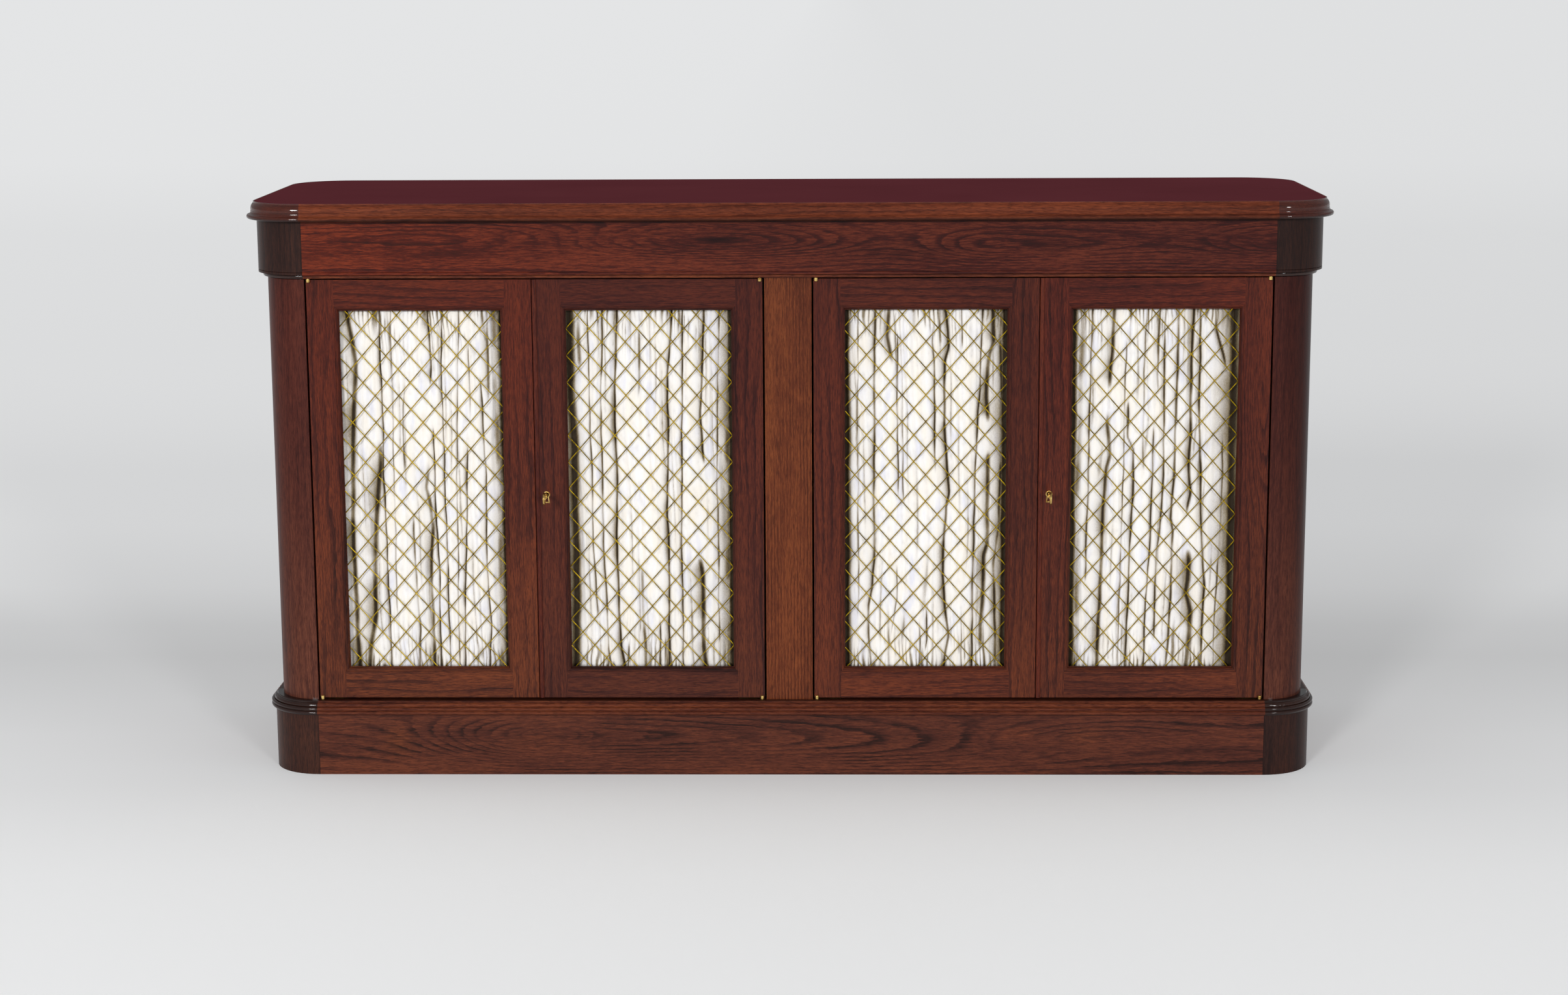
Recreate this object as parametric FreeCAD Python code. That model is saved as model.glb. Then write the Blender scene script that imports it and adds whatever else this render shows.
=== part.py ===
import FreeCAD, Part
import math
import os
from FreeCAD import Vector

# Console cabinet with four grille doors, in millimetres.
# X runs along the front, the doors face -Y and Z is up.
# The origin is on the floor under the middle of the body.
os.makedirs("parts", exist_ok=True)

# Body, measured over the columns
body_half_width = 819.5
body_half_depth = 225.0
column_radius = 68.0

# Heights of the courses, from the floor up
plinth_height = 98.5
plinth_mould_height = 22.0
bay_height = 673.5
bed_mould_height = 6.0
frieze_height = 83.0
top_thickness = 27.4

# How far each course stands out from the body
plinth_out = 12.6
plinth_mould_out = 19.6
bed_mould_out = 6.8
frieze_out = 14.0
top_board_out = 17.0
top_edge_out = 29.7

# Board thicknesses
plinth_thickness = 20.0
frieze_thickness = 20.0
side_thickness = 20.0
sub_top_thickness = 18.0
partition_thickness = 18.0
shelf_thickness = 18.0
back_panel_thickness = 12.0
back_panel_recess = 6.0
bearer_thickness = 20.0
column_top_gap = 1.2
column_edge_round = 1.0

# Stiles of the carcass
centre_stile_half = 36.5
stile_thickness = 20.0
back_stile_half = 40.0

# Shelves and their pins
shelf_height = 441.0
shelf_front_setback = 55.0
shelf_clearance = 0.5
pin_radius = 2.5
pin_depth = 8.5
pin_reach = 9.0
pin_inset = 45.0
pin_fit = 0.1

# Doors: each pair has a plain door on its left and a lock door on its right
door_side_gap = 3.0
door_top_gap = 2.5
door_bottom_gap = 3.0
meeting_gap = 1.2
door_thickness = 22.0
stile_width = 49.0
lock_stile_width = 44.5
top_rail_height = 49.1
bottom_rail_height = 49.3
sticking_width = 7.0
sticking_depth = 9.0
tenon_length = 28.0
tenon_thickness = 7.0
tenon_shoulder = 7.0

# Meeting bead on the edge of each lock door
bead_width = 7.0
bead_proud = 2.5
bead_shoulder = 0.5

# Brass wire grille
wire_width = 1.6
lattice_pitch_x = 37.0
lattice_pitch_z = 42.2
lattice_rise = 2.5
grille_lap = 6.5
grille_border = 5.0

# Gathered silk and the rods that carry it
cloth_thickness = 1.5
silk_front_depth = 11.2
silk_back_depth = 20.5
silk_side_lap = 2.0
rod_radius = 2.0
rod_depth = 16.0
rod_clearance = 0.4
rod_seat = 4.0
rod_fit = 0.1
silk_rod_gap = 0.3

# Knife hinges
hinge_inset = 4.0
hinge_forward = 1.5
barrel_radius = 3.1
barrel_drop = 3.9
barrel_gap = 0.3
barrel_round = 0.9
hinge_pin_radius = 1.25
hinge_pin_fit = 0.05
hinge_pin_end_gap = 0.9
leaf_thickness = 2.4
leaf_length = 38.0
leaf_setback = 4.0
leaf_width = 10.0
leaf_arm_half = 2.5

# Lock, bolt and key of each lock door
key_height = 452.2
key_backset = 10.0
case_width = 38.0
case_above_key = 28.0
case_below_key = 16.0
case_depth = 9.0
case_wall = 1.5
case_edge_inset = 1.0
bolt_thickness = 5.0
bolt_length = 33.0
bolt_bottom = 3.0
bolt_height = 16.0
bolt_throw = 8.0
bolt_fit = 0.15
bit_reach = 6.6
bit_half_width = 1.1
bit_thickness = 3.5
bit_clearance = 0.5
shaft_radius = 2.0
shaft_fit = 0.08
bow_centre_out = 38.0
bow_radius = 10.0
bow_hole_radius = 6.0
bow_thickness = 2.4
bow_fit = 0.6
collar_radius = 3.2
collar_length = 2.2
collar_out = 23.0

# Thread escutcheon
escutcheon_head_radius = 5.2
escutcheon_waist_half = 2.9
escutcheon_foot_half = 4.6
escutcheon_drop = 13.3
escutcheon_rim = 1.7
escutcheon_depth = 2.5
escutcheon_proud = 0.4

# Keeper and slip bolt on the back of each plain door
keeper_gap = 2.3
keeper_width = 12.0
keeper_margin = 3.0
slip_inset = 21.0
slip_bar_half = 4.0
slip_bar_length = 88.0
slip_bar_thickness = 5.0
slip_top_gap = 1.5
slip_fit = 0.3
slip_knob_radius = 4.0
slip_knob_length = 9.0
slip_knob_drop = 52.0
slip_plate_half = 10.0
slip_plate_length = 100.0
slip_plate_thickness = 1.5
staple_half = 8.0
staple_height = 7.0
staple_wall = 2.0
staple_low_drop = 80.0
staple_high_drop = 14.0

# Door stops under the sub top
stop_length = 30.0
stop_depth = 12.0
stop_height = 12.0
stop_offset = 50.0
stop_gap = 0.3

# Moulding outlines as shares of reach and height: two numbers end a line, four give an arc's middle and end
top_edge_shares = (
    (0.00, 0.00), (0.76, 0.015), (1.00, 0.146, 0.87, 0.252), (0.82, 0.263), (0.58, 0.328, 0.49, 0.460),
    (0.45, 0.482), (0.47, 0.511), (0.43, 0.726, 0.17, 0.905), (0.13, 0.923), (0.13, 1.00), (0.00, 1.00),
)
frieze_shares = (
    (0.00, 0.00), (1.00, 0.00), (1.00, 0.043), (0.94, 0.049), (1.00, 0.055), (1.00, 1.00), (0.00, 1.00),
)
bed_mould_shares = (
    (0.00, 0.00), (0.86, 0.00), (1.00, 0.38, 0.97, 0.80), (0.90, 1.00), (0.00, 1.00),
)
plinth_mould_shares = (
    (0.00, 0.00), (0.470, 0.00), (0.520, 0.068), (0.530, 0.132), (0.734, 0.220, 0.760, 0.414),
    (0.750, 0.455), (0.985, 0.500, 0.888, 0.677), (0.885, 0.700), (1.000, 0.809, 0.893, 0.964),
    (0.867, 1.00), (0.00, 1.00),
)
sticking_shares = (
    (0.00, 0.13), (0.08, 0.13), (0.62, 0.24, 0.86, 0.56), (0.86, 0.64), (1.00, 0.64),
    (1.00, 1.00), (0.00, 1.00),
)
square_shares = ((0.00, 0.00), (1.00, 0.00), (1.00, 1.00), (0.00, 1.00))

# Widths of the silk's folds at its foot, middle and head, as shares of the cloth's width
silk_foot_shares = (0.07, 0.05, 0.10, 0.06, 0.09, 0.12, 0.07, 0.11, 0.06, 0.09, 0.05, 0.13)
silk_middle_shares = (0.06, 0.08, 0.07, 0.09, 0.07, 0.13, 0.10, 0.08, 0.07, 0.08, 0.07, 0.10)
silk_head_shares = (0.05, 0.09, 0.06, 0.11, 0.07, 0.10, 0.08, 0.12, 0.07, 0.06, 0.10, 0.09)

# Levels and seams worked out from the sizes above
ledge_z = plinth_height + plinth_mould_height
bay_top_z = ledge_z + bay_height
frieze_z = bay_top_z + bed_mould_height
top_z = frieze_z + frieze_height
seam_x = body_half_width - column_radius
seam_y = body_half_depth - column_radius
door_foot_z = ledge_z + door_bottom_gap
door_head_z = bay_top_z - door_top_gap
front_y = -body_half_depth
door_back_y = front_y + door_thickness
pair_centre_x = (centre_stile_half + seam_x) / 2
pair_half = (seam_x - centre_stile_half) / 2 - door_side_gap
axis_z = Vector(0, 0, 1)
nodes = {}


def box(xs, ys, zs):
    corner = Vector(min(xs), min(ys), min(zs))
    return Part.makeBox(abs(xs[1] - xs[0]), abs(ys[1] - ys[0]), abs(zs[1] - zs[0]), corner)


def cylinder(radius, base, reach):
    return Part.makeCylinder(radius, reach.Length, base, reach)


def scaled(shares, reach, height, out, z):
    # Turns a table of shares into points: out grows outwards and z upwards
    rows = []
    for row in shares:
        rows.append([(out + reach * row[i], z + height * row[i + 1]) for i in range(0, len(row), 2)])
    return rows


def outline_face(rows, place):
    # Closed face through lines and arcs, each point set in space by place
    points = [[place(*pair) for pair in row] for row in rows]
    edges = []
    for before, row in zip(points, points[1:]):
        start = before[-1]
        if len(row) == 2:
            edges.append(Part.Arc(start, row[0], row[1]).toShape())
        else:
            edges.append(Part.LineSegment(start, row[0]).toShape())
    edges.append(Part.LineSegment(points[-1][-1], points[0][0]).toShape())
    return Part.Face(Part.Wire(edges))


def prism(corners, reach):
    return Part.Face(Part.makePolygon(corners + corners[:1])).extrude(reach)


def straight_run(rows, half_span, half_body):
    # A length of moulding along the -Y side of the body
    face = outline_face(rows, lambda out, z: Vector(-half_span, -half_body - out, z))
    return face.extrude(Vector(2 * half_span, 0, 0))


def corner_run(rows):
    # The same moulding turned round the front right column
    face = outline_face(rows, lambda out, z: Vector(seam_x + column_radius + out, -seam_y, z))
    return face.revolve(Vector(seam_x, -seam_y, 0), axis_z, -90)


def turned(shape, degrees):
    copy = shape.copy()
    copy.rotate(Vector(0, 0, 0), axis_z, degrees)
    return copy


def moved(shape, x):
    copy = shape.copy()
    copy.translate(Vector(x, 0, 0))
    return copy


def four_sides(rows):
    front = straight_run(rows, seam_x, body_half_depth)
    side = straight_run(rows, seam_y, body_half_width)
    return [front, turned(front, 180), turned(side, 90), turned(side, -90)]


def four_corners(front_right):
    front_left = front_right.mirror(Vector(0, 0, 0), Vector(1, 0, 0))
    return [front_right, front_left, turned(front_right, 180), turned(front_left, 180)]


def cross_board(inset, front_inset, low, high):
    # A board inside the body, notched at the four column corners
    x, y = body_half_width - inset, body_half_depth - inset
    long_part = box((-x, x), (-seam_y, seam_y), (low, high))
    deep_part = box((-seam_x, seam_x), (front_y + front_inset, y), (low, high))
    return long_part.fuse(deep_part).removeSplitter()


def keyhole(head, waist, foot, drop, centre, reach):
    # A keyhole shape, round at its head and wider again at its foot
    x, y, z = centre
    corners = [(-waist, 0), (waist, 0), (foot, -drop), (-foot, -drop)]
    slot = prism([Vector(x + across, y, z + up) for across, up in corners], Vector(0, reach, 0))
    return slot.fuse(cylinder(head, Vector(x, y, z), Vector(0, reach, 0))).removeSplitter()


def hinge_plate(axis_x, inward, low, high):
    # The flat leaf of a knife hinge with its arm forward to the pin
    axis_y = front_y - hinge_forward
    plate_y = front_y + leaf_setback
    plate = box((axis_x, axis_x + inward * leaf_length), (plate_y, plate_y + leaf_width), (low, high))
    arm = box((axis_x - leaf_arm_half, axis_x + leaf_arm_half), (axis_y, plate_y + leaf_width), (low, high))
    nose = cylinder(leaf_arm_half, Vector(axis_x, axis_y, min(low, high)), Vector(0, 0, abs(high - low)))
    return plate.fuse([arm, nose]).removeSplitter()


def hinge_levels():
    # Door edge, carcass face and direction towards the carcass, for the head and the foot
    return ((door_head_z, bay_top_z, 1), (door_foot_z, ledge_z, -1))


def door_leaf(axis_x, inward, edge, face, up):
    # The leaf let into the door's edge, with the barrel that turns on the pin
    axis_y = front_y - hinge_forward
    leaf = hinge_plate(axis_x, inward, edge - up * leaf_thickness, edge)
    ends = (edge - up * barrel_drop, face - up * barrel_gap)
    barrel = cylinder(barrel_radius, Vector(axis_x, axis_y, min(ends)), Vector(0, 0, abs(ends[1] - ends[0])))
    rims = [edge for edge in barrel.Edges if isinstance(edge.Curve, Part.Circle)]
    barrel = barrel.makeFillet(barrel_round, rims)
    bore_end = edge - up * (barrel_drop - hinge_pin_end_gap)
    bore = (bore_end, face)
    hole = cylinder(hinge_pin_radius + hinge_pin_fit, Vector(axis_x, axis_y, min(bore)),
                    Vector(0, 0, abs(bore[1] - bore[0])))
    return leaf.fuse(barrel).removeSplitter().cut(hole)


def carcass_leaf(axis_x, inward, edge, face, up):
    # The leaf let into the carcass, with the pin that the barrel turns on
    axis_y = front_y - hinge_forward
    leaf = hinge_plate(axis_x, inward, face, face + up * leaf_thickness)
    pin_end = edge - up * (barrel_drop - 2 * hinge_pin_end_gap)
    ends = (pin_end, face + up * leaf_thickness)
    pin = cylinder(hinge_pin_radius, Vector(axis_x, axis_y, min(ends)), Vector(0, 0, abs(ends[1] - ends[0])))
    return leaf.fuse(pin).removeSplitter()


def sticking(start, end, inward):
    # The moulded inner edge of one side of a door frame, mitred at both ends
    along = (end - start).normalize()
    outer = start - inward * sticking_width - along * sticking_width
    rows = scaled(sticking_shares, sticking_width, sticking_depth, 0, 0)
    face = outline_face(rows, lambda across, deep: outer + inward * across + Vector(0, deep, 0))
    bar = face.extrude(along * ((end - start).Length + 2 * sticking_width))
    far = end - inward * sticking_width + along * sticking_width
    return bar.common(prism([outer, start, end, far], Vector(0, sticking_depth, 0)))


def door_frame(left, right, left_width, right_width):
    # Two stiles over the full height, two rails tenoned between them, and the sight opening
    low, high = door_foot_z + bottom_rail_height, door_head_z - top_rail_height
    sight = (left + left_width, right - right_width, low, high)
    corners = [Vector(sight[i], front_y, sight[j]) for i, j in ((0, 2), (1, 2), (1, 3), (0, 3))]
    depth = (front_y, door_back_y)
    left_flat = left + left_width - sticking_width
    right_flat = right - right_width + sticking_width
    stiles = [
        box((left, left_flat), depth, (door_foot_z, door_head_z)).fuse(
            sticking(corners[0], corners[3], Vector(1, 0, 0))),
        box((right_flat, right), depth, (door_foot_z, door_head_z)).fuse(
            sticking(corners[1], corners[2], Vector(-1, 0, 0))),
    ]
    rails = [
        box((left_flat, right_flat), depth, (high + sticking_width, door_head_z)).fuse(
            sticking(corners[3], corners[2], Vector(0, 0, -1))),
        box((left_flat, right_flat), depth, (door_foot_z, low - sticking_width)).fuse(
            sticking(corners[0], corners[1], Vector(0, 0, 1))),
    ]
    tenon_y = (front_y + door_back_y - tenon_thickness) / 2
    spans = ((high + sticking_width, door_head_z), (door_foot_z, low - sticking_width))
    for number, (foot, head) in enumerate(spans):
        tenons = box((left_flat - tenon_length, right_flat + tenon_length),
                     (tenon_y, tenon_y + tenon_thickness), (foot + tenon_shoulder, head - tenon_shoulder))
        rails[number] = rails[number].fuse(tenons).removeSplitter()
        stiles = [stile.cut(tenons) for stile in stiles]
    return [stile.removeSplitter() for stile in stiles], rails, sight


def clipped(corners, low, high, along):
    # Keeps the part of a polygon between two lines
    for limit, keep in ((low, 1), (high, -1)):
        kept = []
        for here, after in zip(corners, corners[1:] + corners[:1]):
            here_in, after_in = keep * (here[along] - limit) >= 0, keep * (after[along] - limit) >= 0
            if here_in:
                kept.append(here)
            if here_in != after_in:
                share = (limit - here[along]) / (after[along] - here[along])
                kept.append(tuple(a + share * (b - a) for a, b in zip(here, after)))
        corners = kept
    return corners


def polygon_area(corners):
    return abs(sum(a[0] * b[1] - b[0] * a[1] for a, b in zip(corners, corners[1:] + corners[:1]))) / 2


def grille(sight):
    # One flat net: a sheet with a diamond hole in every cell of the lattice
    left, right, low, high = sight
    y = front_y + sticking_depth
    lap = grille_lap
    inner = grille_lap - grille_border
    slant = math.hypot(lattice_pitch_x, lattice_pitch_z)
    half_x = (lattice_pitch_x - wire_width * slant / lattice_pitch_z) / 2
    half_z = (lattice_pitch_z - wire_width * slant / lattice_pitch_x) / 2
    centre_x, centre_z = (left + right) / 2, (low + high) / 2 + lattice_rise
    sides, ends = (left - lap, right + lap), (low - lap, high + lap)
    sheet = [(sides[i], ends[j]) for i, j in ((0, 0), (1, 0), (1, 1), (0, 1))]
    outlines = [sheet]
    across = math.ceil((right - left) / lattice_pitch_x) + 1
    upward = math.ceil((high - low) / lattice_pitch_z) + 1
    for column in range(-across, across + 1):
        for row in range(-upward, upward + 1):
            if (column + row) % 2 == 0:
                x = centre_x + column * lattice_pitch_x / 2
                z = centre_z + row * lattice_pitch_z / 2
                diamond = [(x - half_x, z), (x, z - half_z), (x + half_x, z), (x, z + half_z)]
                hole = clipped(diamond, left - inner, right + inner, 0)
                hole = clipped(hole, low - inner, high + inner, 1) if hole else hole
                if len(hole) > 2 and polygon_area(hole) > wire_width * wire_width:
                    outlines.append(hole)
    wires = [Part.makePolygon([Vector(x, y, z) for x, z in points + points[:1]]) for points in outlines]
    return Part.makeFace(wires, "Part::FaceMakerCheese").extrude(Vector(0, wire_width, 0))


def silk_section(shares, left, right, z):
    # One level of the cloth: arcs that swell forwards and backwards in turn
    front, back = front_y + silk_front_depth, front_y + silk_back_depth - cloth_thickness
    middle = (front + back) / 2
    total = sum(shares)
    crossings = [left + (right - left) * sum(shares[:i]) / total for i in range(len(shares) + 1)]
    edges = []
    for shift, ways in ((0, 1), (cloth_thickness, -1)):
        spans = list(enumerate(zip(crossings, crossings[1:])))[::ways]
        for number, (start, end) in spans:
            crest = (front if number % 2 == 0 else back) + shift
            points = [Vector(start, middle + shift, z), Vector((start + end) / 2, crest, z),
                      Vector(end, middle + shift, z)][::ways]
            edges.append(Part.Arc(*points).toShape())
        last = right if ways == 1 else left
        ends = [Vector(last, middle, z), Vector(last, middle + cloth_thickness, z)][::ways]
        edges.append(Part.LineSegment(*ends).toShape())
    return Part.Wire(edges)


def silk(sight):
    # Gathered cloth between the two rods, its folds wandering from foot to head
    left, right, low, high = sight
    foot = low - sticking_width + rod_clearance + 2 * rod_radius + silk_rod_gap
    head = high + sticking_width - rod_clearance - 2 * rod_radius - silk_rod_gap
    levels = ((silk_foot_shares, foot), (silk_middle_shares, (foot + head) / 2), (silk_head_shares, head))
    sections = [silk_section(shares, left - silk_side_lap, right + silk_side_lap, z) for shares, z in levels]
    return Part.makeLoft(sections, True, True)


def silk_rods(sight, radius):
    # The two rods, or the holes for their ends, by the radius asked for
    left, right, low, high = sight
    end = sticking_width + rod_seat
    y = front_y + rod_depth
    edge = sticking_width - rod_clearance - rod_radius
    return [cylinder(radius, Vector(left - end, y, z), Vector(right - left + 2 * end, 0, 0))
            for z in (low - edge, high + edge)]


def meeting_bead():
    # A half-round nosed strip that closes the gap between a pair of doors
    half = bead_width / 2
    rows = [[(-half, door_back_y)], [(-half, front_y - bead_shoulder)],
            [(0, front_y - bead_proud), (half, front_y - bead_shoulder)], [(half, door_back_y)]]
    face = outline_face(rows, lambda x, y: Vector(x, y, door_foot_z))
    return face.extrude(Vector(0, 0, door_head_z - door_foot_z))


# Places inside a lock, counted from the middle of its pair of doors
key_x = bead_width / 2 + key_backset
case_left = -bead_width / 2 + case_edge_inset
case_right = case_left + case_width
case_back_y = door_back_y + case_depth
bolt_y = door_back_y + (case_depth - bolt_thickness) / 2
bit_y = door_back_y + (case_depth - bit_thickness) / 2
bolt_low_z = key_height + bolt_bottom
bolt_high_z = bolt_low_z + bolt_height


def keyhole_through(y, reach, clearance):
    # The hole that the key goes in by: a round for the shaft and a slot for the bit
    shaft = shaft_radius + clearance
    slot = bit_half_width + clearance
    return keyhole(shaft, slot, slot, bit_reach + clearance, (key_x, y, key_height), reach)


def escutcheon_outline(y, reach):
    return keyhole(escutcheon_head_radius, escutcheon_waist_half, escutcheon_foot_half, escutcheon_drop,
                   (key_x, y, key_height), reach)


def escutcheon():
    y = front_y - escutcheon_proud
    reach = escutcheon_proud + escutcheon_depth
    inner = keyhole(escutcheon_head_radius - escutcheon_rim, escutcheon_waist_half - escutcheon_rim,
                    escutcheon_foot_half - escutcheon_rim, escutcheon_drop - escutcheon_rim,
                    (key_x, y, key_height), reach)
    return escutcheon_outline(y, reach).cut(inner)


def lock_case():
    outside = box((case_left, case_right), (door_back_y, case_back_y),
                  (key_height - case_below_key, key_height + case_above_key))
    inside = box((case_left + case_wall, case_right - case_wall),
                 (door_back_y + case_wall, case_back_y - case_wall),
                 (key_height - case_below_key + case_wall, key_height + case_above_key - case_wall))
    slot = box((case_left, case_left + case_wall), (bolt_y - bolt_fit, bolt_y + bolt_thickness + bolt_fit),
               (bolt_low_z - bolt_fit, bolt_high_z + bolt_fit))
    way_in = keyhole_through(door_back_y, case_wall, shaft_fit)
    seat = cylinder(shaft_radius + shaft_fit, Vector(key_x, case_back_y - case_wall, key_height),
                    Vector(0, case_wall, 0))
    return outside.cut([inside, slot, way_in, seat])


def lock_bolt():
    # The talon is the notch that the bit reaches into at the end of its turn
    depth = (bolt_y, bolt_y + bolt_thickness)
    bar = box((case_left, case_left + bolt_length), depth, (bolt_low_z, bolt_high_z))
    reach = bit_reach + bit_clearance
    ends = [cylinder(reach, Vector(x, bolt_y, key_height), Vector(0, bolt_thickness, 0))
            for x in (key_x, key_x + bolt_throw)]
    middle = box((key_x, key_x + bolt_throw), depth, (key_height, key_height + reach))
    return bar.cut([middle] + ends)


def key():
    # Shaft, bit and a bow that stands edge on to the front
    bow_y = front_y - bow_centre_out
    shaft_start = bow_y + bow_radius - bow_fit
    shaft = cylinder(shaft_radius, Vector(key_x, shaft_start, key_height),
                     Vector(0, case_back_y - shaft_start, 0))
    bit = box((key_x - bit_half_width, key_x + bit_half_width), (bit_y, bit_y + bit_thickness),
              (key_height - bit_reach, key_height))
    across = Vector(bow_thickness, 0, 0)
    bow_corner = Vector(key_x - bow_thickness / 2, bow_y, key_height)
    bow = cylinder(bow_radius, bow_corner, across).cut(cylinder(bow_hole_radius, bow_corner, across))
    collar_start = Vector(key_x, front_y - collar_out, key_height)
    collar = cylinder(collar_radius, collar_start, Vector(0, collar_length, 0))
    return shaft.fuse([bit, bow, collar]).removeSplitter()


def keeper():
    # A brass strap on two blocks of the plain door, which the lock's bolt shoots under
    right = -bead_width / 2 - meeting_gap - keeper_gap
    across = (right - keeper_width, right)
    strap_y = bolt_y + bolt_thickness + slip_fit
    foot_z, head_z = bolt_low_z - keeper_margin, bolt_high_z + keeper_margin
    blocks = [box(across, (door_back_y, strap_y), level)
              for level in ((foot_z, bolt_low_z - slip_fit), (bolt_high_z + slip_fit, head_z))]
    return [box(across, (strap_y, case_back_y), (foot_z, head_z))] + blocks


# Places of the slip bolt, counted from the middle of its pair of doors
slip_x = -bead_width / 2 - meeting_gap - slip_inset
slip_head_z = door_head_z - slip_top_gap
slip_y = door_back_y + slip_plate_thickness + slip_fit


def slip_bolt():
    bar = box((slip_x - slip_bar_half, slip_x + slip_bar_half), (slip_y, slip_y + slip_bar_thickness),
              (slip_head_z - slip_bar_length, slip_head_z))
    knob = cylinder(slip_knob_radius, Vector(slip_x, slip_y, slip_head_z - slip_knob_drop),
                    Vector(0, slip_bar_thickness + slip_knob_length, 0))
    return bar.fuse(knob).removeSplitter()


def slip_plate():
    # The base plate and the two staples that the bar slides through
    plate = box((slip_x - slip_plate_half, slip_x + slip_plate_half),
                (door_back_y, door_back_y + slip_plate_thickness),
                (slip_head_z - slip_plate_length, slip_head_z))
    outer_y = slip_y + slip_bar_thickness + slip_fit + staple_wall
    staples = [box((slip_x - staple_half, slip_x + staple_half), (door_back_y, outer_y),
                   (slip_head_z - drop, slip_head_z - drop + staple_height))
               for drop in (staple_low_drop, staple_high_drop)]
    clear = slip_bar_half + slip_fit
    way = box((slip_x - clear, slip_x + clear), (slip_y - slip_fit, outer_y - staple_wall),
              (slip_head_z - slip_plate_length, slip_head_z))
    return plate.fuse(staples).cut(way).removeSplitter()


def hinge_axes():
    # Pin places of the four doors, with the direction from the pin into the door
    near, far = centre_stile_half + door_side_gap + hinge_inset, seam_x - door_side_gap - hinge_inset
    return ((-far, 1), (-near, -1), (near, 1), (far, -1))


def make_door(number):
    lock_door = number % 2 == 0
    centre = pair_centre_x if number > 2 else -pair_centre_x
    half = bead_width / 2
    left, right = (half, pair_half) if lock_door else (-pair_half, -half - meeting_gap)
    left_width = lock_stile_width if lock_door else stile_width
    stiles, rails, sight = door_frame(left, right, left_width, stile_width)
    hinge_x = right - hinge_inset if lock_door else left + hinge_inset
    inward = -1 if lock_door else 1
    leaves = [door_leaf(hinge_x, inward, *level) for level in hinge_levels()]
    stiles = [stile.cut(leaves + silk_rods(sight, rod_radius + rod_fit)) for stile in stiles]
    pieces = {
        "rails": rails,
        "grille": [grille(sight)],
        "silk": [silk(sight)],
        "silk_rods": silk_rods(sight, rod_radius),
        "hinge_leaves": leaves,
    }
    if lock_door:
        recess = escutcheon_outline(front_y, escutcheon_depth)
        stiles[0] = stiles[0].cut([recess, keyhole_through(front_y, door_thickness, bow_fit)])
        pieces["meeting_bead"] = [meeting_bead()]
        pieces["escutcheon"] = [escutcheon()]
        pieces["lock_case"] = [lock_case()]
        pieces["lock_bolt"] = [lock_bolt()]
        pieces["key"] = [key()]
    else:
        pieces["slip_bolt"] = [slip_bolt()]
        pieces["keeper_and_bolt_plate"] = keeper() + [slip_plate()]
    pieces["stiles"] = stiles
    for name, solids in pieces.items():
        nodes["door_%d_%s" % (number, name)] = [moved(solid, centre) for solid in solids]


def carcass_leaves():
    return [carcass_leaf(x, inward, *level) for x, inward in hinge_axes() for level in hinge_levels()]


def make_plinth():
    boards = scaled(square_shares, plinth_thickness, plinth_height, plinth_out - plinth_thickness, 0)
    blocks = scaled(square_shares, plinth_out + column_radius, plinth_height, -column_radius, 0)
    nodes["plinth_boards"] = four_sides(boards)
    nodes["plinth_corner_blocks"] = four_corners(corner_run(blocks))
    bearer_y = body_half_depth + plinth_out - plinth_thickness
    nodes["plinth_bearer"] = [box((-bearer_thickness / 2, bearer_thickness / 2), (-bearer_y, bearer_y),
                                  (0, plinth_height))]
    leaves = carcass_leaves()
    runs = four_sides(plinth_mould_rows(side_thickness))
    corners = four_corners(corner_run(plinth_mould_rows(column_radius)))
    nodes["plinth_moulding"] = [runs[0].cut(leaves)] + runs[1:] + corners
    nodes["floor_board"] = [cross_board(side_thickness, side_thickness, plinth_height, ledge_z)]


def plinth_mould_rows(inside):
    # Outline of the reeded moulding, with its inner face moved in by the depth asked for
    rows = scaled(plinth_mould_shares, plinth_mould_out, plinth_mould_height, 0, plinth_height)
    upside = [[(out, plinth_height + ledge_z - z) for out, z in row] for row in rows]
    return with_inner_face(upside, inside)


def with_inner_face(rows, inside):
    # The first and last points of an outline lie on the body line: they move in to the inner face
    first, last = rows[0][0], rows[-1][-1]
    return [[(-inside, first[1])]] + rows[1:-1] + [[(-inside, last[1])]]


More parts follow.
